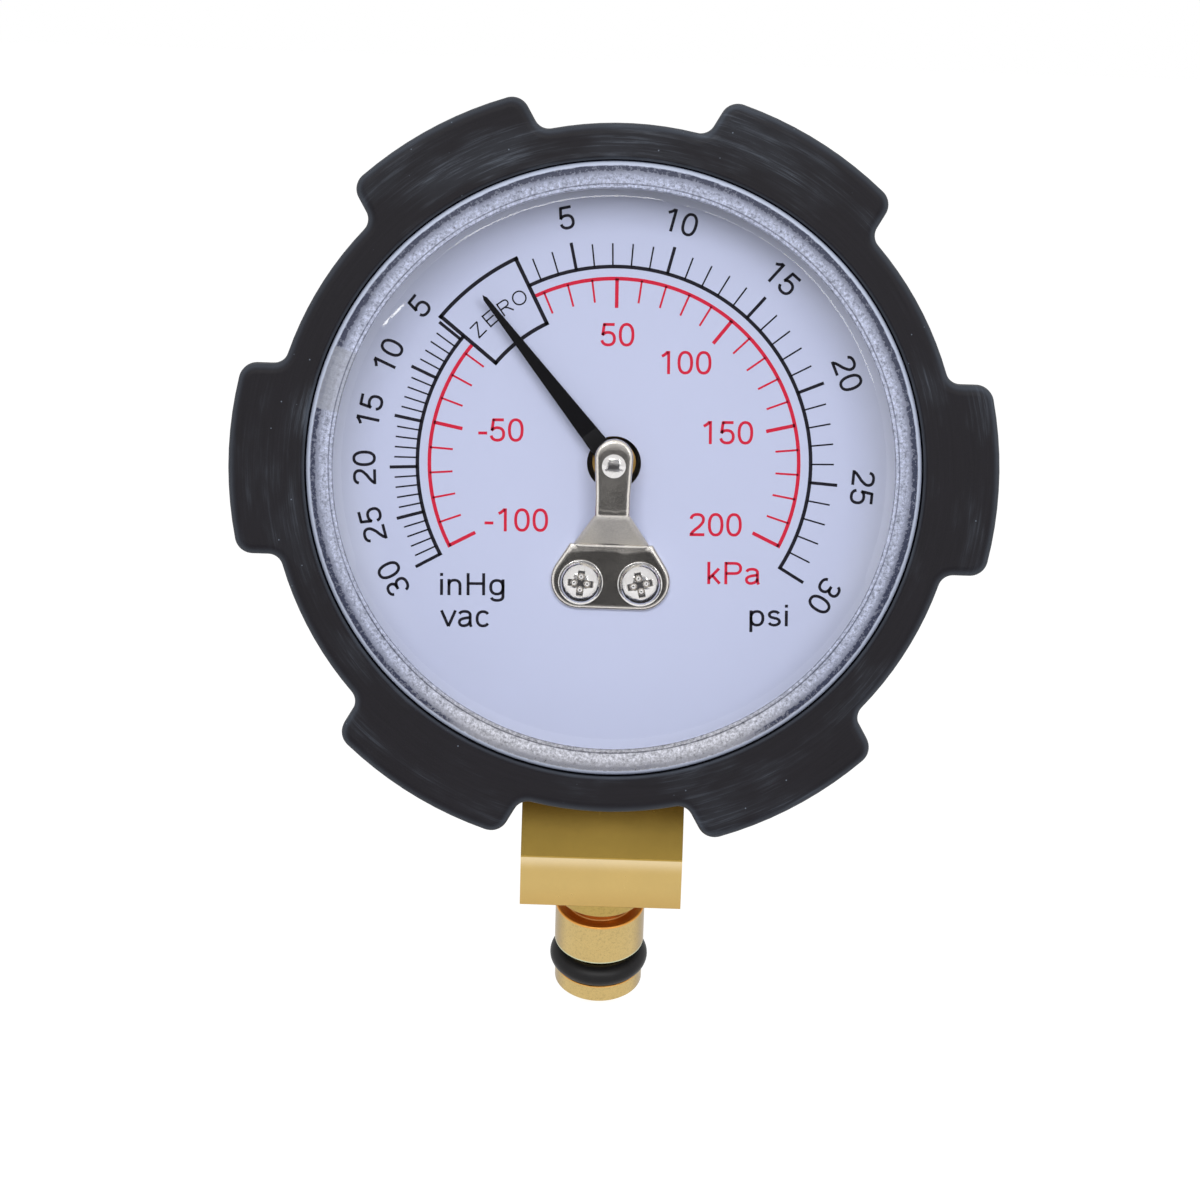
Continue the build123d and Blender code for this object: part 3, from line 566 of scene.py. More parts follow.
INK = dict(
    noises=((1800.0, 2.0),), shade=(0.9, 0.2), rough=(0.45, 0.1), bumps=((0, 0.000002, 0.4),),
    Specular_IOR_Level=0.15,
)
EVEN_FINISHES = {
    "case_paint": dict(
        tint="case", noises=((300.0, 3.0), (2200.0, 2.0)), shade=(0.8, 0.5), rough=(0.32, 0.2),
        bumps=((1, 0.00001, 0.5),),
    ),
    "seal_rubber": dict(
        tint="seal", noises=((900.0, 3.0), (9000.0, 2.0)), shade=(0.75, 0.6), rough=(0.36, 0.16),
        bumps=((1, 0.000006, 0.5),), Specular_IOR_Level=0.24,
    ),
    "black_ink": dict(INK, tint="black_ink"),
    "red_ink": dict(INK, tint="red_ink"),
    "plated_steel": dict(
        tint="plated", noises=((1100.0, 3.0), (2600.0, 2.0)), shade=(0.84, 0.2, 0.08), rough=(0.07, 0.08),
        bumps=((0, 0.00006, 0.5), (1, 0.00003, 0.5)), Metallic=1.0,
    ),
    "inner_brass": dict(
        tint="inner", noises=((700.0, 3.0),), shade=(0.8, 0.35), rough=(0.28, 0.15),
        bumps=((0, 0.00001, 0.4),), Metallic=1.0,
    ),
}
FINISHES = {}


def finish(name):
    """Each finish is made once."""
    if name not in FINISHES:
        make = new_finish(name)
        recipe = EVEN_FINISHES.get(name)
        FINISHES[name] = even_finish(make, **recipe) if recipe else FINISH_MAKERS[name](make)
    return FINISHES[name]


# Sectors where the boot is paler and more scuffed: how much, between which clockwise angles in degrees
# and how softly, and between which radii in metres and how softly
BOOT_RUBBED = (
    (0.24, -38, -14, 0.12, 0.0314, 0.0352, 0.0016),
    (0.14, -4, 34, 0.16, 0.0312, 0.0352, 0.0010),
    (0.10, -112, -92, 0.10, 0.0315, 0.0355, 0.0012),
)
# Depths behind the boot's front plane: its front face, and the rounded edge that gets a painted highlight
BOOT = metres(front=(0.2, 0.9), rolled=(0.15, 1.1))


def boot_rubber(make):
    """Satin blue-black rubber with scuff streaks swept round, paler sectors, a painted highlight on the
    rounded front edge and a little dust.
    """
    place, y, z, radius, angle = make.round_axis()
    front = 1 - make.step(y, *BOOT["front"])
    grain = make.noise(place, 5200.0, 3.0, 0.6)
    cloud = make.noise(place, 110.0, 3.0, 0.55)
    streaks = make.noise(make.swept(angle, 0.0012, radius + y * 0.3), 3600.0, 5.0, 0.75)
    patches = make.noise(make.swept(angle, 0.012, radius + y * 0.3), 230.0, 3.0, 0.6)
    handled = 0.0
    for share, start, end, soft, inner, outer, fade in BOOT_RUBBED:
        across = make.band(angle, radians(start), radians(end), soft)
        handled = across * make.band(radius, inner, outer, fade) * share + handled
    haze = make.step(patches + handled, 0.48, 0.80) * front
    scuff = make.step(streaks, 0.47, 0.72) * haze
    distance, chance = make.cells(place, 820.0)
    specks = (1 - make.step(distance, 0.03, 0.08)) * make.step(chance, 0.62, 0.64)
    # Painted highlight: the rounded front edge is made lighter in the dust colour
    rolled = make.band(y, *BOOT["rolled"], 0.15 * MM) * (0.35 + patches * 0.65)
    tint = make.dim(shade_of("rubber"), 0.40 + cloud * 0.30 + streaks * 0.80)
    worn = make.mix(scuff * 0.32 + haze * 0.06 + rolled * 0.27, tint, shade_of("rubber_dust"))
    shade = make.mix(specks * 0.70, worn, shade_of("rubber_dust"))
    relief = make.bump(grain, 0.00002, 0.5)
    normal = make.bump(streaks, 0.00002, 0.5, relief)
    rough = 0.46 + cloud * 0.14 - scuff * 0.12
    return make.surface(shade, rough, normal, Specular_IOR_Level=0.15)


# A painted white glint on a small scratch in the window: its clockwise angles in degrees, a point on
# its line as an angle and a radius, how fast its radius falls with the angle, and half its width
NICK_ANGLES = (-59.8, -53.5)
NICK_FOOT = (radians(-60), 27.08 * MM)
NICK_FALL = 4.2 * MM
NICK_HALF_WIDTH = 0.11 * MM


def clear_plastic(make):
    """Thin clear moulding: straight through, with a mirror sheen and a painted white glint on one small
    scratch near its edge.
    """
    place, y, z, radius, angle = make.round_axis()
    outside = 1 - make.node("ShaderNodeNewGeometry")["Backfacing"]
    sheen = make.node("ShaderNodeFresnel", {"IOR": 1.45})["Fac"] * outside
    through = make.node("ShaderNodeBsdfTransparent", {"Color": (0.99, 0.992, 1.0, 1.0)})["BSDF"]
    gloss = make.node("ShaderNodeBsdfGlossy", {"Color": (1, 1, 1, 1), "Roughness": 0.02})["BSDF"]
    clear = make.node("ShaderNodeMixShader", {"Fac": sheen, 1: through, 2: gloss})["Shader"]
    slanted = make.vector(angle * 0.020 + radius * 0.5, y, radius - angle * 0.004)
    fibres = make.noise(slanted, 2600.0, 3.0, 0.6)
    line = NICK_FOOT[1] - (angle - NICK_FOOT[0]) * NICK_FALL
    across = make.band(radius - line, -NICK_HALF_WIDTH, NICK_HALF_WIDTH, 0.07 * MM)
    nick = make.band(angle, *map(radians, NICK_ANGLES), 0.010) * across
    # Painted glint: a white matt patch where the scratch would catch the light
    white = make.node("ShaderNodeBsdfDiffuse", {"Color": (0.93, 0.95, 1.0, 1.0)})["BSDF"]
    share = nick * make.step(fibres, 0.44, 0.52)
    return make.done(make.node("ShaderNodeMixShader", {"Fac": share, 1: clear, 2: white})["Shader"])


# Radii between which each part of the rim's pattern lies, comes or goes; most of it is painted light and
# shade
RIM = metres(
    polished=(28.50, 28.70),
    inner_line=(28.03, 28.13),
    outer_line=(28.46, 28.60),
    inner_fade=(28.95, 30.10),
    dark_line=(29.85, 30.28),
    dark_end=(30.24, 30.38),
    edge=(30.28, 30.42),
    gate_end=(30.30, 30.50),
    polished_edge=(30.35, 30.50),
    side=(30.70, 30.76),
)
# How far the pattern's edges wander in and out
CLUMPS_WANDER = 0.4 * MM
DARK_END_WANDER = 0.2 * MM
EDGE_WANDER = 0.12 * MM
LINE_WANDER = 0.06 * MM
# Clockwise angles in degrees: where the painted shade dies out at the bottom, and the smooth gate
RIM_BOTTOM = (128, 158)
RIM_GATE = (-80.0, -67.5)
# Painted light: the band's paler paint at the bottom
RIM_BOTTOM_TONE = tone(222, 221, 226)
# Painted shadow in the gap between the rim and the boot
RIM_SIDE_TONE = tone(52, 64, 110)


def frosted_plastic(make):
    """The window's rim: a polished step with painted dark refraction lines, a grained band with painted
    shade darkening outwards, and a painted highlight on the edge.
    """
    place, y, z, radius, angle = make.round_axis()
    grain = make.noise(place, 2800.0, 3.0, 0.8)
    clumps = make.noise(make.swept(angle, 0.020, radius), 1500.0, 3.0, 0.6)
    drift = make.noise(make.swept(angle, 0.010, 0.0), 260.0, 2.0, 0.5)
    uneven = radius + (clumps - 0.5) * CLUMPS_WANDER
    # Painted shade: the band darkens outwards where the black gasket shows through it, less at the bottom
    inner_fade = make.step(uneven, *RIM["inner_fade"])
    dark_line = make.band(uneven, *RIM["dark_line"], 0.12 * MM)
    bottom = make.step(make.maths("ABSOLUTE", angle), *map(radians, RIM_BOTTOM))
    banded = inner_fade * (0.80 - bottom * 0.42) + dark_line * (0.55 - bottom * 0.43)
    strength = banded * (0.78 + make.step(drift, 0.30, 0.62) * 0.40)
    speckle = make.step(grain, 0.34, 0.58)
    past_dark = 1 - make.step(radius + (clumps - 0.5) * DARK_END_WANDER, *RIM["dark_end"])
    gate = make.band(angle, *map(radians, RIM_GATE), 0.006) * (1 - make.step(radius, *RIM["gate_end"]))
    ribs = make.noise(make.vector(angle * 0.030, 0.0, radius * 0.12), 3000.0, 3.0, 0.6)
    shadowed = strength * (0.22 + speckle * 1.00) * past_dark * (1 - gate * 0.75)
    dark = make.maths("MINIMUM", shadowed, 0.96)
    field_tone = make.mix(bottom * 0.75, shade_of("frost_pale"), RIM_BOTTOM_TONE)
    pale = make.dim(field_tone, grain * 3.3 - 0.65)
    field = make.mix(gate * 0.75, pale, make.dim(shade_of("frost_gate"), 0.62 + ribs * 0.8))
    grained = make.mix(dark, field, shade_of("frost_dark"))
    wander = drift * LINE_WANDER
    # Painted dark refraction lines at both edges of the polished step
    outer_line = make.band(radius + wander, *RIM["outer_line"], 0.05 * MM)
    inner_line = make.band(radius - wander, *RIM["inner_line"], 0.03 * MM)
    lined = make.mix((outer_line + inner_line) * (0.42 + clumps * 0.50), grained, shade_of("frost_dark"))
    # Painted highlight on the rim's edge, then the painted shadow in the gap at its side
    edge = make.step(radius + (clumps - 0.5) * EDGE_WANDER, *RIM["edge"])
    rimmed = make.mix(edge, lined, shade_of("rim_light"))
    shade = make.mix(make.step(radius, *RIM["side"]), rimmed, RIM_SIDE_TONE)
    smooth = make.step(radius, *RIM["polished_edge"]) + (1 - make.step(radius, *RIM["polished"]))
    normal = make.bump(grain, 0.00003, 0.7)
    rough = 0.46 - smooth * 0.26
    cover = 0.76 + dark * 0.24 + edge * 0.24
    return make.surface(shade, rough, normal, Specular_IOR_Level=0.25, Alpha=cover)


# Where the dial is painted paler towards its rim, painted light against the case wall's shade: between
# which radii, and above which heights
DIAL = metres(rim=(24.0, 28.4), top=(-21.0, -8.0))
DIAL_RIM_TONE = tone(228, 233, 252)


def dial_paint(make):
    """Satin paint, with painted light making it paler towards the rim, except low down."""
    place, y, z, radius, angle = make.round_axis()
    cloud = make.noise(place, 60.0, 2.0)
    fine = make.noise(place, 3500.0, 2.0)
    # Painted light: paler towards the rim, above the lower part of the dial
    rim = make.step(radius, *DIAL["rim"]) * make.step(z, *DIAL["top"])
    paint = make.mix(rim * 0.55, shade_of("dial"), DIAL_RIM_TONE)
    shade = make.dim(paint, 0.97 + cloud * 0.05 + fine * 0.012)
    normal = make.bump(fine, 0.000004, 0.4)
    return make.surface(shade, 0.5 + fine * 0.08, normal)


def pointer_paint(make):
    """Satin black with fine marks and a few specks."""
    place = make.place()
    fine = make.noise(place, 5200.0, 3.0, 0.6)
    distance, chance = make.cells(place, 900.0)
    specks = (1 - make.step(distance, 0.03, 0.07)) * make.step(chance, 0.86, 0.88)
    tint = make.dim(shade_of("pointer"), 0.7 + fine * 0.6)
    shade = make.mix(specks * 0.3, tint, shade_of("rubber_dust"))
    normal = make.bump(fine, 0.000008, 0.5)
    rough = 0.32 + fine * 0.14
    return make.surface(shade, rough, normal, Specular_IOR_Level=0.10)


# Heights over the pointer's axis, and how far the edges at the bends wander up and down
# fold and crease mark the painted highlight lines at the lower bend and at the top of the ramp
BRIDGE = metres(ramp=(-8.1, -5.1), foot=(-8.1, -8.3), fold=(-8.95, -8.1), crease=(-4.65, -4.50))
BRIDGE_WANDER = 1.0 * MM


def bridge_steel(make):
    """Plated sheet: slightly uneven, with a fine brushed grain; forward-facing flats are painted darker as
    a painted reflection, most on the foot, with painted highlight lines left at the bends.
    """
    place = make.place()
    wave = make.noise(place, 420.0, 3.0, 0.5)
    fine = make.noise(place, 6000.0, 3.0, 0.6)
    x, y, z = make.parts(place)
    ramp = make.band(z, *BRIDGE["ramp"], 0.12 * MM)
    facing = make.parts(make.node("ShaderNodeTexCoord")["Normal"])[1]
    # Painted shade: flats that face forward are darkened, the foot more, except along the painted highlight
    # lines
    flat = make.step(0 - facing, 0.93, 0.99)
    foot = make.step(z, *BRIDGE["foot"])
    torn = z + (wave - 0.5) * BRIDGE_WANDER
    fold = make.band(torn, *BRIDGE["fold"], 0.12 * MM)
    crease = make.band(torn, *BRIDGE["crease"], 0.06 * MM)
    dulled = flat * (0.50 + foot * 0.22) * (1 - fold * 0.85 - crease * 0.8)
    uneven = 0.64 + wave * 0.22 + fine * 0.50
    shade = make.dim(shade_of("bridge"), uneven * (1 - dulled) * (1 - ramp * 0.10))
    rough = 0.14 + wave * 0.08 + fine * 0.10 + ramp * 0.22
    relief = make.bump(wave, 0.00004, 0.5)
    normal = make.bump(fine, 0.000010, 0.6, relief)
    metal = 1 - ramp * 0.55
    return make.surface(shade, rough, normal, Metallic=metal)


# Painted light on the block: shade on the upper face, the boot's shadow, reflection down the lower face, a
# highlight under the bend
BLOCK_UPPER_TONE = tone(172, 143, 70)
BLOCK_SHADED_TONE = tone(116, 87, 32)
BLOCK_FOOT_TONE = tone(190, 158, 96)
BLOCK_FRESH_TONE = tone(221, 199, 154)
# Heights over the block's bend
BLOCK = metres(below=(0.04, -0.04), fresh=(-1.9, -0.1), shaded=(2.4, 6.2), foot=(-2.8, -5.6))


def block_brass(make):
    """Drawn bar with a fine grain and painted light: a darker upper face with the boot's painted shadow, a
    painted highlight below its bend, and a painted reflection down the lower face.
    """
    place = make.place()
    x, y, z = make.parts(place)
    cloud = make.noise(place, 260.0, 3.0, 0.5)
    fine = make.noise(make.vector(x, y * 0.3, z * 0.3), 5200.0, 3.0, 0.6)
    height = z - BLOCK_BEND_LEVEL
    below, fresh, shaded, foot = (make.step(height, *span) for span in BLOCK.values())
    upper = make.mix(shaded, BLOCK_UPPER_TONE, BLOCK_SHADED_TONE)
    plain = make.mix(foot * 0.8, shade_of("block"), BLOCK_FOOT_TONE)
    lower = make.mix(fresh * fresh, plain, BLOCK_FRESH_TONE)
    tint = make.dim(make.mix(below, upper, lower), 0.92 + cloud * 0.10 + fine * 0.06)
    rough = 0.20 + cloud * 0.06 + fine * 0.05
    normal = make.bump(fine, 0.000004, 0.5)
    return make.surface(tint, rough, normal, Metallic=1.0)


# Distances down from the block's lower face; radii for the groove's floor; and distances to either
# side for the flanks
STUB = metres(
    boss_end=(2.0, 2.1),
    groove=(1.9, 3.5),
    groove_floor=(4.0, 4.3),
    groove_glow=(3.42, 3.62),
    land_glow=(11.36, 11.50),
    collar_lip=(8.06, 8.36),
    flanks=(3.2, 4.6),
)
STUB_BOSS_TONE = tone(172, 147, 84)
STUB_FLANK_TONE = tone(126, 106, 68)
STUB_SPOT_TONE = tone(122, 94, 50)
STUB_GLOW_TONE = tone(226, 150, 60)
STUB_LIP_TONE = tone(206, 216, 188)
STUB_LINE_SOFTNESS = 0.04 * MM


def stub_brass(make):
    """Turned brass with a speckled shine, painted shade in the clip groove and on the flanks, and painted
    highlight lines along the turned edges.
    """
    place = make.along_stub()
    x, y, z = make.parts(place)
    radius, angle = make.polar(x, y)
    down = STUB_NOSE_MIDDLE * MM - z
    rings = make.noise(make.vector(0.0, 0.0, z), 9000.0, 2.0, 0.6)
    speckle = make.noise(place, 4200.0, 4.0, 0.8)
    cloud = make.noise(place, 600.0, 2.0)
    spots = make.step(speckle, 0.55, 0.66)
    boss = make.mix(1 - make.step(down, *STUB["boss_end"]), shade_of("stub"), STUB_BOSS_TONE)
    # Painted shade on the flanks, which face sideways
    flank = make.step(make.maths("ABSOLUTE", x), *STUB["flanks"])
    dulled = make.mix(flank * 0.75, boss, STUB_FLANK_TONE)
    tint = make.dim(dulled, 0.30 + speckle * 1.42 + cloud * 0.10)
    spotted = make.mix(spots * 0.46, tint, STUB_SPOT_TONE)
    # Painted shade in the clip groove
    groove = make.band(down, *STUB["groove"], 0.03 * MM) * (1 - make.step(radius, *STUB["groove_floor"]))
    # Painted highlight lines on the upper edges of the collar and the end land, and on the collar's lower
    # edge
    lines = ("groove_glow", "land_glow", "collar_lip")
    groove_glow, land_glow, lip = (make.band(down, *STUB[line], STUB_LINE_SOFTNESS) for line in lines)
    grooved = make.mix(groove, spotted, shade_of("groove"))
    lit = make.mix((groove_glow + land_glow) * 0.7, grooved, STUB_GLOW_TONE)
    shade = make.mix(lip * 0.8, lit, STUB_LIP_TONE)
    rough = 0.24 + speckle * 0.18
    relief = make.bump(rings, 0.000006, 0.7)
    normal = make.bump(speckle, 0.000016, 0.7, relief)
    return make.surface(shade, rough, normal, Metallic=1.0)


FINISH_MAKERS = {
    maker.__name__: maker for maker in (
        boot_rubber, clear_plastic, frosted_plastic, dial_paint, pointer_paint, bridge_steel, block_brass,
        stub_brass,
    )
}


# Print on the dial

def ink_face():
    return DIAL_FACE - PIVOT.y - bpy.context.scene.gauge_print.ink_thickness


def thicken(piece):
    """Gives flat print its ink thickness, down to the dial."""
    leave(piece)
    edit()
    push((0, bpy.context.scene.gauge_print.ink_thickness, 0))
    return leave(piece)


# Angle that each straight piece of a curved line takes up
BAND_STEP = radians(1.25)


def print_band(inner, outer, start, end):
    """A curved line between two radii and two angles."""
    steps = max(4, round(abs(end - start) / BAND_STEP))
    depth = ink_face()
    profile = [(inner, depth), (outer, depth)]
    side = Vector((sin(start), 0, cos(start)))
    piece = spun("band", profile, sides=steps, sweep=end - start, side=side)
    return thicken(piece)


def print_ticks(inner, outer, width, start, step, count):
    """One division line, repeated round the dial."""
    clear_selection()
    middle = (inner + outer) / 2
    bpy.ops.mesh.primitive_plane_add(size=1.0, location=(0, 0, middle), rotation=UPRIGHT)
    piece = name_it("ticks")
    piece.scale = (width, outer - inner, 1.0)
    settle()
    piece.matrix_world = Matrix.Translation(PIVOT + DIAL_AXIS * ink_face()) @ Matrix.Rotation(start, 4, "Y")
    settle()
    if count > 1:
        edit()
        sweep = step * (count - 1)
        bpy.ops.mesh.spin(steps=count - 1, dupli=True, angle=sweep, center=PIVOT, axis=-DIAL_AXIS)
    return thicken(piece)


def print_scale(zero, step, divisions, skipped, long_line, short_line):
    """A long line at each fifth division and short ones between, without the first few at zero."""
    fives = divisions // 5
    made = [print_ticks(*long_line, zero + 5 * step, 5 * step, fives)]
    for five in range(fives):
        gone = 0 if five else skipped
        if gone < 4:
            made.append(print_ticks(*short_line, zero + (5 * five + 1 + gone) * step, step, 4 - gone))
    return made


# Plain numerals and letters as pen strokes. A stroke is the line that the middle of the pen follows,
# counted in capital heights from the foot of the letter's left side.

PEN_SHARE = 0.125


def bow(across, up, reach, rise, first, last, count=13, fullness=2.3):
    """Part of a full oval, between two angles in degrees, counted upwards from the right."""
    points = []
    for number in range(count):
        angle = radians(first + (last - first) * number / (count - 1))
        wide = copysign(abs(cos(angle)) ** (2 / fullness), cos(angle))
        tall = copysign(abs(sin(angle)) ** (2 / fullness), sin(angle))
        points.append((across + reach * wide, up + rise * tall))
    return points


STEM = [(0.154, 0.0), (0.154, 0.724)]
TALL_STEM = [(0.178, 0.0), (0.178, 1.0)]

# Each has its width with the gap to the next, and its strokes
GLYPHS = {
    "0": (0.777, [bow(0.388, 0.5, 0.268, 0.447, 0, 360, 29)]),
    "1": (0.777, [[(0.46, 0.0), (0.46, 1.0)], [(0.175, 0.77), (0.27, 0.82), (0.36, 0.89), (0.425, 0.97)]]),
    "2": (0.777, [
        bow(0.385, 0.72, 0.262, 0.22, 175, -30, 15)
        + [(0.56, 0.52), (0.45, 0.40), (0.31, 0.29), (0.19, 0.18), (0.125, 0.08)],
        [(0.062, 0.0625), (0.69, 0.0625)],
    ]),
    "3": (0.777, [
        bow(0.365, 0.735, 0.225, 0.205, 168, -90),
        bow(0.365, 0.29, 0.27, 0.235, 90, -170, 15),
        [(0.27, 0.528), (0.40, 0.528)],
    ]),
    "5": (0.777, [
        [(0.19, 0.9375), (0.66, 0.9375)],
        [(0.225, 0.97), (0.155, 0.47)],
        [(0.135, 0.475)] + bow(0.385, 0.325, 0.268, 0.272, 128, -168, 17),
    ]),
    "-": (0.466, [[(0.045, 0.362), (0.42, 0.362)]]),
    "a": (0.777, [
        bow(0.355, 0.515, 0.235, 0.168, 165, 0, 11) + [(0.59, 0.20), (0.60, 0.09), (0.64, 0.0)],
        [(0.59, 0.425), (0.47, 0.40), (0.33, 0.378), (0.20, 0.335), (0.135, 0.27), (0.118, 0.19)]
        + [(0.15, 0.10), (0.235, 0.05), (0.345, 0.045), (0.46, 0.08), (0.545, 0.15), (0.59, 0.26)],
    ]),
    "c": (0.700, [bow(0.37, 0.362, 0.258, 0.318, 38, 322, 19)]),
    "g": (0.777, [
        bow(0.375, 0.37, 0.258, 0.31, 0, 360, 25),
        [(0.633, 0.724)] + bow(0.385, -0.04, 0.248, 0.185, 0, -165, 11),
    ]),
    "i": (0.310, [STEM, [(0.154, 0.862), (0.154, 1.0)]]),
    "k": (0.700, [
        [(0.154, 0.0), (0.154, 1.0)],
        [(0.154, 0.235), (0.585, 0.70)],
        [(0.30, 0.40), (0.62, 0.02)],
    ]),
    "n": (0.777, [STEM, bow(0.385, 0.44, 0.231, 0.236, 180, 0) + [(0.616, 0.0)]]),
    "p": (0.777, [[(0.154, -0.278), (0.154, 0.724)], bow(0.40, 0.362, 0.252, 0.318, 0, 360, 25)]),
    "s": (0.700, [
        bow(0.345, 0.535, 0.205, 0.147, 20, 270, 13, 2.0),
        bow(0.345, 0.210, 0.225, 0.165, 90, -160, 13, 2.0),
    ]),
    "v": (0.700, [[(0.045, 0.724), (0.349, 0.02)], [(0.349, 0.02), (0.653, 0.724)]]),
    "E": (0.932, [
        TALL_STEM,
        [(0.178, 0.9375), (0.86, 0.9375)],
        [(0.178, 0.52), (0.81, 0.52)],
        [(0.178, 0.0625), (0.88, 0.0625)],
    ]),
    "H": (1.009, [TALL_STEM, [(0.83, 0.0), (0.83, 1.0)], [(0.178, 0.53), (0.83, 0.53)]]),
    "O": (1.087, [bow(0.543, 0.5, 0.43, 0.45, 0, 360, 29, 2.1)]),
    "P": (0.932, [
        TALL_STEM,
        [(0.178, 0.9375)] + bow(0.55, 0.71, 0.255, 0.2275, 90, -90, 11) + [(0.178, 0.4825)],
    ]),
    "R": (1.009, [
        TALL_STEM,
        [(0.178, 0.9375)] + bow(0.60, 0.715, 0.27, 0.2225, 90, -90, 11) + [(0.178, 0.4925)],
        [(0.50, 0.48), (0.66, 0.36), (0.90, 0.0)],
    ]),
    "Z": (0.855, [
        [(0.07, 0.9375), (0.75, 0.9375)],
        [(0.73, 0.93), (0.09, 0.07)],
        [(0.05, 0.0625), (0.79, 0.0625)],
    ]),
}


def pen_line(curve, stroke, start):
    """One pen stroke, lying flat; a stroke that meets its own start is closed."""
    (first_across, first_up), (last_across, last_up) = stroke[0], stroke[-1]
    meets = abs(first_across - last_across) + abs(first_up - last_up) < 0.001
    points = stroke[:-1] if meets else stroke
    line = curve.splines.new("POLY")
    line.points.add(len(points) - 1)
    line.use_cyclic_u = meets
    for point, (across, up) in zip(line.points, points):
        point.co = (start + across, up, 0, 1)
        point.tilt = pi / 2


def print_word(text, height, foot, angle, width=None, pen=PEN_SHARE):
    """A word as a mesh, its ink centred over a foot point and turned about it."""
    clear_selection()
    curve = bpy.data.curves.new("word", "CURVE")
    curve.dimensions = "3D"
    curve.twist_mode = "Z_UP"
    curve.extrude = pen / 2
    start = 0.0
    for letter in text:
        advance, strokes = GLYPHS[letter]
        for stroke in strokes:
            pen_line(curve, stroke, start)
        start += advance
    piece = bpy.data.objects.new("word", curve)
    bpy.context.scene.collection.objects.link(piece)
    take(piece)
    bpy.ops.object.convert(target="MESH")
    piece = name_it("word")
    across = [vertex.co.x for vertex in piece.data.vertices]
    ink = max(across) - min(across)
    widen = NUMBER_WIDEN * height if width is None else width / ink
    shift = Matrix.Translation((-(min(across) + max(across)) / 2, 0, 0))
    scale = Matrix.Diagonal((widen, height, height, 1.0))
    stand = Matrix.Rotation(pi / 2, 4, "X")
    piece.data.transform(Matrix.Translation(foot) @ Matrix.Rotation(angle, 4, "Y") @ stand @ scale @ shift)
    return thicken(piece)


def print_upright(word, x, z, height, width=None):
    """A word near its own place on the dial, with its place and its sizes in millimetres."""
    place = at(x, 0, z) + DIAL_AXIS * ink_face()
    tilt = bpy.context.scene.gauge_print.word_tilt
    return print_word(word, height * MM, place, tilt, width and width * MM)


# Divisions of both black scales, of the red pressure scale and of the red vacuum scale
BLACK_DIVISIONS = 30
RED_DIVISIONS = 20
RED_VACUUM_DIVISIONS = 10
# Sizes of the print, in metres and radians where nothing else is said
NUMBER_WIDEN = 1.02
BOX_START = radians(-52.0)
BOX_END = radians(-26.8)
BOX_INNER = 0.01547
BOX_OUTER = 0.02310
BOX_LINE = 0.00039
BOX_LINE_ANGLE = BOX_LINE / ((BOX_INNER + BOX_OUTER) / 2)
# Letter and its clockwise angle in degrees
ZERO_LETTERS = (("Z", -47.2), ("E", -42.2), ("R", -36.6), ("O", -31.55))
ZERO_LETTER_FOOT = 0.01849
ZERO_LETTER_HEIGHT = 0.00150
ZERO_PEN_SHARE = 0.10
MAJOR_OUTER = 0.02268
MINOR_OUTER = 0.02222
MAJOR_WIDTH = 0.00032
MINOR_WIDTH = 0.00016
RED_MAJOR_INNER = 0.01570
RED_MINOR_INNER = 0.01635
RED_MAJOR_WIDTH = 0.00036
RED_MINOR_WIDTH = 0.00020
# Number and where its foot is, in millimetres, and then the height of them all
RED_NUMBERS = (
    ("50", -0.03, 11.838),
    ("100", 7.003, 9.23),
    ("150", 11.45, 2.285),
    ("200", 10.508, -7.084),
    ("-50", -11.49, 1.838),
    ("-100", -9.668, -7.241),
)
RED_NUMBER_HEIGHT = 2.34
# Word, where its foot is, its capitals' height and its width, in millimetres
BLACK_UNITS = (
    ("psi", 16.17, -16.065, 2.20, 3.90),
    ("inHg", -13.93, -13.866, 2.25, 6.53),
    ("vac", -14.622, -17.105, 2.30, 4.96),
)
RED_UNIT = ("kPa", 12.492, -11.911, 2.27, 5.34)


class PrintBlack(bpy.types.Operator):
    """Black scales, numbers, units and the box round zero"""

    bl_idname = "gauge.print_black"
    bl_label = "Black print"

    def execute(self, context):
        sizes = context.scene.gauge_print
        zero = sizes.zero_angle
        foot = sizes.black_arc_radius
        inner = foot - sizes.arc_width / 2
        outer = foot + sizes.arc_width / 2
        left = BOX_START + BOX_LINE_ANGLE / 2
        right = BOX_END - BOX_LINE_ANGLE / 2
        end_angle = MAJOR_WIDTH / 2 / outer
        made = [
            print_band(inner, outer, right, zero + BLACK_DIVISIONS * sizes.pressure_step + end_angle),
            print_band(inner, outer, zero - BLACK_DIVISIONS * sizes.vacuum_step - end_angle, left),
            print_band(BOX_OUTER - BOX_LINE, BOX_OUTER, BOX_START, BOX_END),
            print_band(BOX_INNER, BOX_INNER + BOX_LINE, BOX_START, BOX_END),
            print_ticks(BOX_INNER, BOX_OUTER, BOX_LINE, left, 0.0, 1),
            print_ticks(BOX_INNER, BOX_OUTER, BOX_LINE, right, 0.0, 1),
        ]
        long_line = (foot, MAJOR_OUTER, MAJOR_WIDTH)
        short_line = (foot, MINOR_OUTER, MINOR_WIDTH)
        for step, skipped in ((sizes.pressure_step, 2), (-sizes.vacuum_step, 4)):
            made += print_scale(zero, step, BLACK_DIVISIONS, skipped, long_line, short_line)
            for value in range(5, BLACK_DIVISIONS + 1, 5):
                angle = zero + value * step
                place = around(angle, sizes.number_radius, ink_face())
                made.append(print_word(str(value), sizes.number_height, place, angle))
        for letter, degrees in ZERO_LETTERS:
            angle = radians(degrees)
            place = around(angle, ZERO_LETTER_FOOT, ink_face())
            made.append(print_word(letter, ZERO_LETTER_HEIGHT, place, angle, pen=ZERO_PEN_SHARE))
        made += [print_upright(*unit) for unit in BLACK_UNITS]
        hand_over(join(made, "dial_print_black"), "black_ink", "dial_paint")
        return {"FINISHED"}


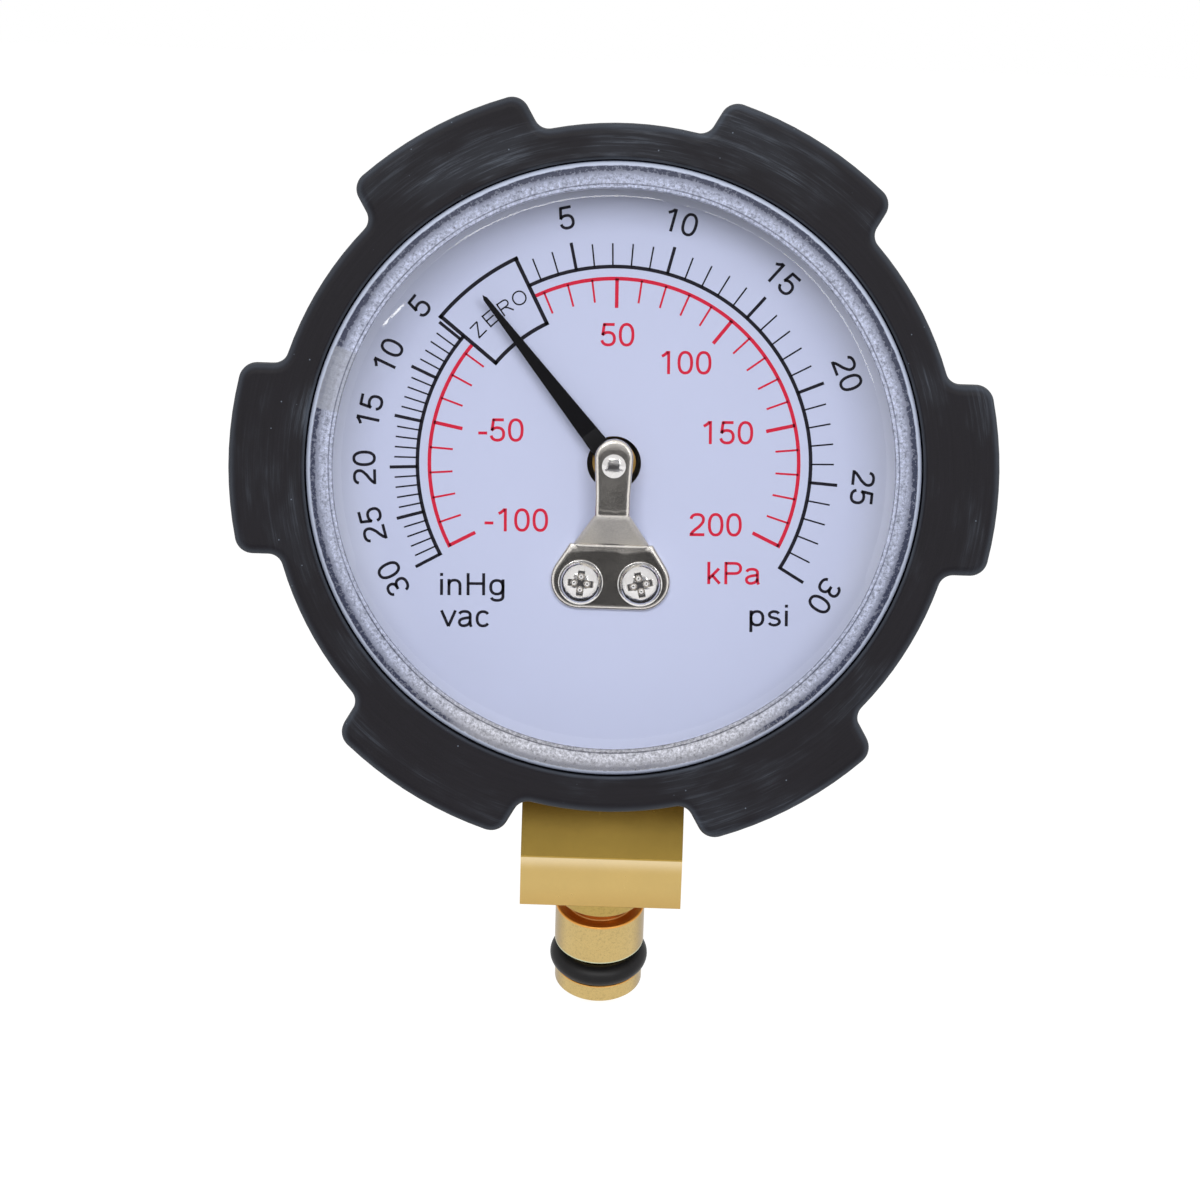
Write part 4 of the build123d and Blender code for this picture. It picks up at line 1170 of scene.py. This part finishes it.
class PrintRed(bpy.types.Operator):
    """Red scale, its numbers and unit"""

    bl_idname = "gauge.print_red"
    bl_label = "Red print"

    def execute(self, context):
        sizes = context.scene.gauge_print
        zero = sizes.zero_angle
        top = sizes.red_arc_radius
        inner = top - sizes.arc_width / 2
        outer = top + sizes.arc_width / 2
        end_angle = RED_MAJOR_WIDTH / 2 / outer
        last = zero + RED_DIVISIONS * sizes.red_pressure_step + end_angle
        first = zero - RED_VACUUM_DIVISIONS * sizes.red_vacuum_step - end_angle
        made = [print_band(inner, outer, BOX_END, last), print_band(inner, outer, first, BOX_START)]
        long_line = (RED_MAJOR_INNER, top, RED_MAJOR_WIDTH)
        short_line = (RED_MINOR_INNER, top, RED_MINOR_WIDTH)
        made += print_scale(zero, sizes.red_pressure_step, RED_DIVISIONS, 1, long_line, short_line)
        made += print_scale(zero, -sizes.red_vacuum_step, RED_VACUUM_DIVISIONS, 1, long_line, short_line)
        made += [print_upright(*number, RED_NUMBER_HEIGHT) for number in RED_NUMBERS]
        made.append(print_upright(*RED_UNIT))
        hand_over(join(made, "dial_print_red"), "red_ink", "dial_paint")
        return {"FINISHED"}


# Window

# The face beyond the lens, in millimetres: how far past the step's foot, the frosted band's edge or
# the rim, and how far behind the step's foot
STEP_FACE = ((0.0, 0.0), (0.12, 0.02), (0.60, -0.06), (1.30, -0.02))
FROST_FACE = ((-0.20, 0.06), (0.05, 0.18), (0.22, 0.36))
RIM_FACE = ((-0.04, 0.62), (0.0, 0.86))


class Window(bpy.types.Operator):
    """Clear moulded window with its frosted rim"""

    bl_idname = "gauge.window"
    bl_label = "Window"

    def execute(self, context):
        sizes = context.scene.gauge_window
        front = sizes.lens_front
        slope = sizes.lens_slope
        rounding = (sizes.lens_radius - sizes.flat_radius) / sin(slope)
        profile = [(0.0, front)] + rounded_face(sizes.flat_radius, rounding, front, slope, 7)
        edges = (sizes.step_radius, sizes.frost_radius, sizes.rim_radius)
        for edge, face in zip(edges, (STEP_FACE, FROST_FACE, RIM_FACE)):
            profile += [(edge + past * MM, sizes.step_depth + behind * MM) for past, behind in face]
        profile += [
            (sizes.rim_radius, sizes.rim_back),
            (sizes.skirt_radius, sizes.rim_back),
            (sizes.skirt_radius, sizes.skirt_back),
            (sizes.skirt_radius - sizes.skirt_wall, sizes.skirt_back),
            (sizes.skirt_radius - sizes.skirt_wall, sizes.rim_back),
            (0.0, sizes.rim_back),
        ]
        piece = spun("gauge_window", profile, sides=192)
        wear(piece, finish("clear_plastic"), finish("frosted_plastic"))

        def frosted(face):
            centre = face.calc_center_median() + piece.location - PIVOT
            reach = (centre.x ** 2 + centre.z ** 2) ** 0.5
            return reach > sizes.lens_radius and centre.y < sizes.rim_back + SAME_PLACE

        choose(piece, "FACE", frosted)
        piece.active_material_index = 1
        bpy.ops.object.material_slot_assign()
        leave(piece, smooth=50.0)
        hand_over(piece, None, "window_clear", "window")
        return {"FINISHED"}


# Bridge, bearing and screws

def sharp_front_edges(least_angle, front_share):
    """Edges between a face that looks forward and one that doesn't."""
    def test(edge):
        if len(edge.link_faces) != 2 or edge.calc_face_angle(0.0) < least_angle:
            return False
        return any(face.normal.y < -front_share for face in edge.link_faces)
    return test


# The bridge's right side, in millimetres from the pointer's axis
HEAD_RADIUS = 1.925
HEAD_MIDDLE = 0.775
BRIDGE_SIDE = [(1.75, -3.0), (1.75, -5.0), (3.8, -8.2), (4.2, -8.2)]
FOOT_CORNER = (3.15, -11.95)
FOOT_CORNER_RADIUS = 2.9
FOOT_CORNER_START = 32.5
BRIDGE_HOLES = ((0.0, 0.0, 0.95), (-3.0, -12.1, 1.2), (3.0, -12.1, 1.2))
BLANK_THICKNESS = 1.2
HEAD_ROLL_LIMIT = 0.60
HEAD_ROLL_WIDER = 0.95
# Lowest cut across each bend, the distance from one cut to the next, and their number
BEND_CUTS = (-8.70, -5.52)
BEND_CUT_STEP = 0.08
BEND_CUT_COUNT = 13
# Height, depth and rounding of the sheet's lower and upper bend, on its front and on its back
FRONT_BENDS = ((-8.338, 7.8, 0.12), (-5.138, 4.8, 0.33))
BACK_BENDS = ((-8.062, 8.5, 0.33), (-4.862, 5.5, 0.12))


def sheet_depth(height, bends):
    """Depth of the bent sheet's front or back at a height, in millimetres."""
    (low, back, low_round), (high, front, high_round) = bends

    def past(distance, rounding):
        if abs(distance) < rounding:
            return (distance + rounding) ** 2 / (4 * rounding)
        return max(distance, 0.0)

    slope = (front - back) / (high - low)
    return back + slope * (past(height - low, low_round) - past(height - high, high_round))


class Bridge(bpy.types.Operator):
    """Stamped bridge: a flat blank with rolled edges, pierced and then bent"""

    bl_idname = "gauge.bridge"
    bl_label = "Bridge"

    def execute(self, context):
        head = arc_points((0.0, HEAD_MIDDLE), HEAD_RADIUS, 90, 0, 17)
        corner = arc_points(FOOT_CORNER, FOOT_CORNER_RADIUS, FOOT_CORNER_START, -90, 17)
        right = head + BRIDGE_SIDE + corner
        left = [(-across, up) for across, up in reversed(right[1:])]
        piece = chained("bridge_strap", [at(across, 0, up) for across, up in right + left])
        bpy.ops.mesh.edge_face_add()
        push((0, -BLANK_THICKNESS * MM, 0))
        leave(piece)
        self.roll(piece, context.scene.gauge_fittings.edge_roll)
        self.pierce(piece)
        self.bend(piece)
        leave(piece, smooth=32.0)
        modify(piece, "WEIGHTED_NORMAL", weight=100, keep_sharp=True)
        hand_over(piece, "bridge_steel", "bridge_steel", "front_bridge")
        return {"FINISHED"}

    def roll(self, piece, width):
        """Rounds the front edge all the way round."""
        edit("EDGE")
        front = PIVOT.y - BLANK_THICKNESS * MM + 10 * SAME_PLACE
        choose(piece, "EDGE", lambda edge: max(vertex.co.y for vertex in edge.verts) < front)
        bpy.ops.mesh.bevel(offset=width, segments=7, affect="EDGES", clamp_overlap=False)
        object_mode()

    def pierce(self, piece):
        for across, up, radius in BRIDGE_HOLES:
            clear_selection()
            bpy.ops.mesh.primitive_cylinder_add(
                vertices=48, radius=radius * MM, depth=4 * MM, location=at(across, 0, up), rotation=UPRIGHT
            )
            cut_with(piece, name_it("punch"))

    def bend(self, piece):
        """Cuts across both bends, moves every point to its depth, and widens the roll over the head."""
        take(piece)
        edit()
        steps = range(BEND_CUT_COUNT)
        for level in [first + BEND_CUT_STEP * step for first in BEND_CUTS for step in steps]:
            bpy.ops.mesh.select_all(action="SELECT")
            bpy.ops.mesh.bisect(plane_co=at(0, 0, level), plane_no=(0, 0, 1))
        mesh = bmesh.from_edit_mesh(piece.data)
        middle = at(0, 0, HEAD_MIDDLE)
        for vertex in mesh.verts:
            out = Vector((vertex.co.x - middle.x, 0, vertex.co.z - middle.z))
            inset = HEAD_RADIUS * MM - out.length
            rise = min(max(out.z / out.length, 0.0), 1.0) ** 2
            if rise > 0 and inset < HEAD_ROLL_LIMIT * MM:
                vertex.co -= out.normalized() * inset * rise * HEAD_ROLL_WIDER
            height = (vertex.co.z - PIVOT.z) / MM
            share = (PIVOT.y - vertex.co.y) / (BLANK_THICKNESS * MM)
            back = sheet_depth(height, BACK_BENDS)
            vertex.co.y = PIVOT.y + MM * (back + share * (sheet_depth(height, FRONT_BENDS) - back))
        bmesh.update_edit_mesh(piece.data)
        object_mode()


# The front bearing behind its dome
DOME_SHARE = 0.6
BEARING_NECK_RADIUS = 0.95 * MM
BEARING_BORE_RADIUS = 0.53 * MM
BEARING_BORE_DEPTH = 1.3 * MM


class BearingDome(bpy.types.Operator):
    """Polished dome of the front bearing"""

    bl_idname = "gauge.bearing_dome"
    bl_label = "Bearing dome"

    def execute(self, context):
        low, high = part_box("bridge_bearing")
        front = low.y - PIVOT.y
        back = high.y - PIVOT.y
        radius = (high.x - low.x) / 2
        rise = context.scene.gauge_fittings.dome_height
        height = rise * DOME_SHARE
        sphere = (radius ** 2 + height ** 2) / (2 * height)
        profile = []
        for number in range(9):
            reach = radius * number / 8
            profile.append((reach, front + sphere - (sphere ** 2 - reach ** 2) ** 0.5))
        profile += [
            (radius, front + rise),
            (BEARING_NECK_RADIUS, front + rise),
            (BEARING_NECK_RADIUS, back),
            (BEARING_BORE_RADIUS, back),
            (BEARING_BORE_RADIUS, back - BEARING_BORE_DEPTH),
            (0.0, back - BEARING_BORE_DEPTH),
        ]
        piece = leave(spun("bearing_dome", profile, sides=48), smooth=40.0)
        hand_over(piece, "plated_steel", "bright_steel", "bridge_bearing")
        return {"FINISHED"}


# The head's turn at its edge, shares of a screw's sizes, and how far the recess's cutter stands out
HEAD_EDGE_ANGLE = radians(43)
HEAD_EDGE_SHARE = 0.985
HEAD_EDGE_DROP = 0.04
SHANK_POINT_START = 0.94
SHANK_POINT_SHARE = 0.8
ARM_INNER_SHARE = 0.60
RECESS_TAPER = 0.86
PETAL_REACH = 0.46
PETAL_DEPTH = 0.92
PETAL_SIZE = 0.98
LIP_ROUNDING = 0.08 * MM
CUTTER_OVERLAP = 0.1 * MM
# Radius and height of the head, and radius of the shank, of the screws at the case's back
CASE_SCREW = (3.0 * MM, 1.9 * MM, 1.75 * MM)
SMALL_SHANK_RADIUS = 1.0 * MM
# How far the left and the right screw of a pair have been turned, in degrees
BRIDGE_SCREW_LEANS = (4.0, -14.0)
BACK_SCREW_LEANS = (21.0, 67.0)


def recess_cutter(top, arm, half, depth):
    """A cross whose four arms have a rounded petal on their floor."""
    clear_selection()
    place = PIVOT + Vector((0, top - CUTTER_OVERLAP, 0))
    bpy.ops.mesh.primitive_plane_add(size=2 * half, location=place, rotation=UPRIGHT)
    cutter = name_it("recess_cutter")
    settle()
    edit("EDGE")
    inner = arm * ARM_INNER_SHARE
    for near, far in ((half, inner), (inner, arm)):
        for direction in FOUR_WAYS:
            def side(edge, direction=direction, near=near):
                middle = middle_of(edge)
                return middle.dot(direction) > near * 0.98 and abs(middle.x * middle.z) < half * half * 0.1
            choose(cutter, "EDGE", side)
            bpy.ops.mesh.extrude_edges_move(TRANSFORM_OT_translate={"value": direction * (far - near)})
    bpy.ops.mesh.select_mode(type="FACE")
    bpy.ops.mesh.select_all(action="SELECT")
    push((0, depth + CUTTER_OVERLAP, 0))
    bpy.ops.transform.resize(value=(RECESS_TAPER, 1.0, RECESS_TAPER), center_override=PIVOT)
    leave(cutter)
    for direction in FOUR_WAYS:
        place = PIVOT + direction * arm * PETAL_REACH + Vector((0, top + depth * PETAL_DEPTH, 0))
        radius = half * PETAL_SIZE
        bpy.ops.mesh.primitive_uv_sphere_add(segments=24, ring_count=12, radius=radius, location=place)
        petal = name_it("petal")
        settle()
        cut_with(cutter, petal)
    return cutter


def cross_recess_screw(name, head_radius, head_height, shank_radius, shank_length):
    """A pan-head screw along +Y at the pivot, its head in front of the seat."""
    top = -head_height
    dome = head_radius * HEAD_EDGE_SHARE / sin(HEAD_EDGE_ANGLE)
    profile = rounded_face(0.0, dome, top, HEAD_EDGE_ANGLE, 8)
    profile += [
        (head_radius, profile[-1][1] + head_radius * HEAD_EDGE_DROP),
        (head_radius, 0.0),
        (shank_radius, 0.0),
        (shank_radius, shank_length * SHANK_POINT_START),
        (shank_radius * SHANK_POINT_SHARE, shank_length),
        (0.0, shank_length),
    ]
    screw = leave(spun(name, profile, sides=64), smooth=40.0)
    sizes = bpy.context.scene.gauge_fittings
    share = head_radius / sizes.screw_head_radius
    arm = sizes.recess_reach * share
    depth = sizes.recess_depth * share
    cut_with(screw, recess_cutter(top, arm, sizes.recess_width / 2 * share, depth))
    take(screw)
    edit("EDGE")

    lip_face = sharp_front_edges(radians(40), 0.75)

    def lip(edge):
        middle = middle_of(edge)
        reach = (middle.x ** 2 + middle.z ** 2) ** 0.5
        return lip_face(edge) and middle.y < top + depth * 0.6 and reach < arm * 1.1

    choose(screw, "EDGE", lip)
    bpy.ops.mesh.bevel(offset=LIP_ROUNDING * share, segments=3, affect="EDGES", clamp_overlap=True)
    object_mode()
    return leave(screw, smooth=40.0)


def finish_pair(made, name, node, smooth):
    """Two equal pieces become one plated piece that stands for a node."""
    piece = join(made, name)
    bpy.ops.object.shade_smooth_by_angle(angle=radians(smooth))
    hand_over(piece, "plated_steel", "bright_steel", node)


def screw_pair(node, name, leans, head_radius, head_height, shank_radius, backward=True):
    """The left and the right screw of a node, each with its own lean in degrees."""
    low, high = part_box(node)
    seat = high.y - head_height if backward else low.y + head_height
    shank_length = seat - low.y if backward else high.y - seat
    model = cross_recess_screw("screw_model", head_radius, head_height, shank_radius, shank_length)
    facing = Matrix.Rotation(pi, 4, "Z") if backward else Matrix.Identity(4)
    made = []
    for side, lean in zip((-1, 1), leans):
        place = Matrix.Translation((side * (high.x - head_radius), seat, (low.z + high.z) / 2))
        turned = facing @ Matrix.Rotation(radians(lean), 4, "Y")
        made.append(twin(model, name, place @ turned @ Matrix.Translation(-PIVOT)))
    bpy.data.objects.remove(model)
    finish_pair(made, name, node, 40)


class Screws(bpy.types.Operator):
    """Cross-recessed screws of the bridge, the bracket and the case"""

    bl_idname = "gauge.screws"
    bl_label = "Screws"

    def execute(self, context):
        sizes = context.scene.gauge_fittings
        small = (sizes.screw_head_radius, sizes.screw_head_height, SMALL_SHANK_RADIUS)
        screw_pair("bridge_screws", "bridge_screw_pair", BRIDGE_SCREW_LEANS, *small, backward=False)
        screw_pair("bracket_screws", "bracket_screw_pair", BACK_SCREW_LEANS, *small)
        screw_pair("case_screws", "case_screw_pair", BACK_SCREW_LEANS, *CASE_SCREW)
        return {"FINISHED"}


# Hole and rounded edge of the washers under the bridge screws
WASHER_HOLE_RADIUS = 1.2 * MM
WASHER_EDGE_SHARE = 0.42
WASHER_EDGE_SOFTNESS = 0.3


class Washers(bpy.types.Operator):
    """Washers under the bridge screws"""

    bl_idname = "gauge.washers"
    bl_label = "Washers"

    def execute(self, context):
        low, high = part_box("screw_washers")
        front = low.y - PIVOT.y
        back = high.y - PIVOT.y
        outer = (high.z - low.z) / 2
        edge = (back - front) * WASHER_EDGE_SHARE
        soft = edge * WASHER_EDGE_SOFTNESS
        profile = [
            (WASHER_HOLE_RADIUS, back),
            (WASHER_HOLE_RADIUS, front),
            (outer - edge, front),
            (outer - soft, front + soft),
            (outer, front + edge),
            (outer, back),
        ]
        model = leave(spun("washer_model", closed(profile), sides=64), smooth=30.0)
        reach = high.x - outer
        drop = (low.z + high.z) / 2 - PIVOT.z
        made = [twin(model, "washer", Matrix.Translation((side * reach, 0, drop))) for side in (-1, 1)]
        bpy.data.objects.remove(model)
        finish_pair(made, "washer_pair", "screw_washers", 30)
        return {"FINISHED"}


# Pointer

# Distance between the middle of the blade's bend and either end of it
CREASE_SPREAD = 0.5 * MM


class Pointer(bpy.types.Operator):
    """Pointer blade with soft edges and the small bend near its root"""

    bl_idname = "gauge.pointer"
    bl_label = "Pointer"

    def execute(self, context):
        sizes = context.scene.gauge_fittings
        piece = copy_of("pointer", "pointer_blade")
        edit("EDGE")
        bpy.ops.mesh.normals_make_consistent(inside=False)
        choose(piece, "EDGE", sharp_front_edges(radians(50), 0.7))
        bpy.ops.mesh.bevel(offset=sizes.pointer_edge, segments=2, affect="EDGES", clamp_overlap=True)
        tip = max(piece.data.vertices, key=lambda vertex: (vertex.co - PIVOT).length).co - PIVOT
        along = Vector((tip.x, 0, tip.z)).normalized()
        for shift in (-CREASE_SPREAD, CREASE_SPREAD, 0.0):
            bpy.ops.mesh.select_all(action="SELECT")
            place = PIVOT + along * (sizes.pointer_crease + shift)
            bpy.ops.mesh.bisect(plane_co=place, plane_no=along)
        bpy.ops.transform.translate(value=(0, sizes.crease_drop, 0))
        leave(piece, smooth=12.0)
        hand_over(piece, "pointer_paint", "pointer_paint", "pointer", body="needle")
        return {"FINISHED"}


# Stub

# Radius and distance from the block's lower face, in millimetres: up the outside, then back up the bore
STUB_PROFILE = (
    (0.8, -4.4), (3.0, -4.4), (3.0, 0.0), (4.6, 0.0), (4.6, 2.05), (3.4, 2.05), (3.4, 3.45), (4.6, 3.45),
    (4.6, 8.3), (2.85, 8.3), (2.85, 11.4), (4.5, 11.4), (4.5, 13.25), (4.25, 13.5),
    (1.5, 13.5), (1.5, 3.0), (1.2, 3.0), (1.2, 1.0), (0.8, 1.0),
)


class Stub(bpy.types.Operator):
    """Turned plug-in stub"""

    bl_idname = "gauge.stub"
    bl_label = "Stub"

    def execute(self, context):
        edge = context.scene.gauge_fittings.stub_edge
        profile = [(radius * MM, (distance - STUB_NOSE_MIDDLE) * MM) for radius, distance in STUB_PROFILE]
        nose = Vector((0, 0, 0))
        piece = spun("brass_stub", closed(profile), centre=nose, axis=STUB_AXIS, side=STUB_SIDE)
        leave(piece, smooth=30.0)
        modify(piece, "BEVEL", width=edge, segments=3, limit_method="ANGLE", angle_limit=radians(60))
        leave(piece, smooth=35.0)
        hand_over(piece, "stub_brass", "stub_brass", "stub_fitting")
        return {"FINISHED"}


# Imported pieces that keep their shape, by the finish that each wears
KEPT_NODES = {
    "boot_rubber": ["rubber_boot"],
    "case_paint": ["case_cup"],
    "seal_rubber": ["blowout_plug", "window_gasket", "case_screw_seals", "o_ring"],
    "dial_paint": ["dial_plate"],
    "bridge_steel": ["rear_bracket"],
    "plated_steel": ["arbor", "collet_screw"],
    "block_brass": ["socket_block"],
    "inner_brass": [
        "rear_bearing", "pressure_coil", "tube_inlet", "restrictor", "pointer_hub", "coil_collet"
    ],
}


class CadFinishes(bpy.types.Operator):
    """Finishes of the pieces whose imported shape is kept"""

    bl_idname = "gauge.cad_finishes"
    bl_label = "Finishes of kept pieces"

    def execute(self, context):
        for name, nodes in KEPT_NODES.items():
            for node in nodes:
                paint_node(node, finish(name))
        return {"FINISHED"}


# Stage

FLOOR_GAP = 0.4 * MM
FLOOR_RADIUS = 6.0
FLOOR_INSET = 4.5
FLOOR_GLOW = 0.90
WHITE = (1.0, 1.0, 1.0, 1.0)
# Name, setting that gives its power, place, width and height, and colour
LAMPS = (
    ("key_lamp", "key_power", (-0.19, -1.03, 0.43), (0.55, 0.40), (1.0, 1.0, 1.0)),
    ("fill_lamp", "fill_power", (0.33, -1.00, 0.34), (0.40, 0.40), (0.97, 0.98, 1.0)),
)
LAMP_AIM = Vector((0, 0, -0.01))
# The dark cards: half width, distance in front of the boot, height over the pointer's axis, how near
# the lying card comes to the boot, its gap to the floor, and how fast it brightens towards the gauge
CARD_HALF = 0.110
CARD_DISTANCE = 0.200
CARD_HEIGHT = 0.110
CARD_NEAREST = 0.095
CARD_GAP = 0.3 * MM
CARD_SLOPE = 2.6
CARD_COLOUR = (1.0, 1.0, 1.05, 1.0)


def aim_at(piece, aim, roll=0.0):
    """Turns a lamp or a camera to a point, and then about the line to it."""
    piece.rotation_mode = "QUATERNION"
    level = (aim - piece.location).to_track_quat("-Z", "Y")
    piece.rotation_quaternion = level @ Matrix.Rotation(roll, 4, "Z").to_quaternion()


def shade_card(name, corners, brightness, slope=0.0):
    """A dark card that only shows in reflections; it may brighten towards the gauge."""
    mesh = bpy.data.meshes.new(name)
    mesh.from_pydata(corners, [], [(0, 1, 2, 3)])
    card = bpy.data.objects.new(name, mesh)
    bpy.context.scene.collection.objects.link(card)
    make = new_finish(name)
    x, y, z = make.parts(make.node("ShaderNodeTexCoord")["Object"])
    strength = brightness + (y - min(corner[1] for corner in corners)) * slope
    glow = make.node("ShaderNodeEmission", {"Color": CARD_COLOUR, "Strength": strength})
    wear(card, make.done(glow["Emission"]))
    for ray in ("camera", "diffuse", "transmission", "shadow"):
        setattr(card, "visible_" + ray, False)


class Stage(bpy.types.Operator):
    """Pale floor, white world, soft lamps, dark cards and the camera"""

    bl_idname = "gauge.stage"
    bl_label = "Stage"

    def execute(self, context):
        settings = context.scene.gauge_stage
        floor_level = LOADED_BOUNDS[0].z - FLOOR_GAP
        self.floor(settings, floor_level)
        self.world(context, settings)
        self.lamps(settings)
        self.cards(settings, floor_level)
        self.camera(context, settings)
        return {"FINISHED"}

    def seen(self, make):
        """1 for rays that should meet the white background, 0 for the rest."""
        path = make.node("ShaderNodeLightPath")
        total = path["Is Camera Ray"] + path["Is Glossy Ray"] + path["Is Transmission Ray"]
        return make.maths("MINIMUM", total, 1.0)

    def floor(self, settings, level):
        clear_selection()
        bpy.ops.mesh.primitive_circle_add(
            vertices=96, radius=FLOOR_RADIUS, fill_type="NGON", location=(0, 0, level)
        )
        floor = name_it("floor")
        edit()
        bpy.ops.mesh.inset(thickness=FLOOR_INSET)
        object_mode()
        make = new_finish("floor")
        grain = make.noise(make.node("ShaderNodeTexCoord")["Object"], 9.0, 2.0)
        shade = make.dim(tuple(settings.floor_tone), 0.97 + grain * 0.03)
        matt = make.node("ShaderNodeBsdfDiffuse", {"Color": shade})
        glow = make.node("ShaderNodeEmission", {"Color": WHITE, "Strength": self.seen(make) * FLOOR_GLOW})
        both = make.node("ShaderNodeAddShader", {0: matt["BSDF"], 1: glow["Emission"]})
        wear(floor, make.done(both["Shader"]))

    def world(self, context, settings):
        context.scene.world = bpy.data.worlds.new("studio")
        make = Finish(context.scene.world)
        strength = settings.ambient + self.seen(make) * (1.0 - settings.ambient)
        sky = make.node("ShaderNodeBackground", {"Color": WHITE, "Strength": strength})
        make.done(sky["Background"], "ShaderNodeOutputWorld")

    def lamps(self, settings):
        for name, power, place, size, shade in LAMPS:
            clear_selection()
            bpy.ops.object.light_add(type="AREA", location=place)
            lamp = name_it(name)
            lamp.data.shape = "RECTANGLE"
            lamp.data.size, lamp.data.size_y = size
            lamp.data.energy = getattr(settings, power)
            lamp.data.color = shade
            aim_at(lamp, PIVOT + LAMP_AIM)

    def cards(self, settings, floor_level):
        """An upright card in front of the gauge, and one along the floor from its foot to the gauge."""
        front = PIVOT.y - CARD_DISTANCE
        low = floor_level + CARD_GAP
        foot = [(-CARD_HALF, front, low), (CARD_HALF, front, low)]
        ends = (
            ("upright_card", front, PIVOT.z + CARD_HEIGHT, 0.0),
            ("floor_card", PIVOT.y - CARD_NEAREST, low, CARD_SLOPE),
        )
        for name, depth, height, slope in ends:
            corners = foot + [(CARD_HALF, depth, height), (-CARD_HALF, depth, height)]
            shade_card(name, corners, settings.card_level, slope)

    def camera(self, context, settings):
        place = PIVOT + Vector((0, -settings.camera_distance, settings.camera_height))
        bpy.ops.object.camera_add(location=place)
        camera = name_it("photo_camera")
        camera.data.sensor_width = 36.0
        camera.data.lens = settings.lens_mm
        camera.data.clip_start = 0.01
        camera.data.clip_end = 50.0
        aim_at(camera, PIVOT + Vector((settings.aim_side, 0, settings.aim_height)), settings.camera_roll)
        context.scene.camera = camera
        context.scene.view_settings.view_transform = "Standard"


class GaugePanel(bpy.types.Panel):
    bl_label = "Vacuum Pressure Gauge"
    bl_idname = "VIEW3D_PT_gauge"
    bl_space_type = "VIEW_3D"
    bl_region_type = "UI"
    bl_category = "Gauge"

    def draw(self, context):
        for operator in OPERATORS:
            self.layout.operator(operator.bl_idname, text=operator.bl_label)
        for name, group in GROUPS.items():
            box = self.layout.box()
            for field in group.__annotations__:
                box.prop(getattr(context.scene, name), field)


GROUPS = {
    "gauge_window": WindowSizes,
    "gauge_print": PrintSizes,
    "gauge_fittings": FittingSizes,
    "gauge_colours": FinishColours,
    "gauge_stage": StageSettings,
}
OPERATORS = (
    CadFinishes, PrintBlack, PrintRed, Window, Bridge, BearingDome, Screws, Washers, Pointer, Stub, Stage
)


def register():
    for name, group in GROUPS.items():
        bpy.utils.register_class(group)
        setattr(bpy.types.Scene, name, bpy.props.PointerProperty(type=group))
    for operator in OPERATORS:
        bpy.utils.register_class(operator)
    bpy.utils.register_class(GaugePanel)


def unregister():
    bpy.utils.unregister_class(GaugePanel)
    for operator in reversed(OPERATORS):
        bpy.utils.unregister_class(operator)
    for name, group in GROUPS.items():
        delattr(bpy.types.Scene, name)
        bpy.utils.unregister_class(group)


def main():
    """Makes every piece in order."""
    register()
    for operator in OPERATORS:
        family, name = operator.bl_idname.split(".")
        getattr(getattr(bpy.ops, family), name)()
    clear_selection()


if __name__ == "__main__":
    main()
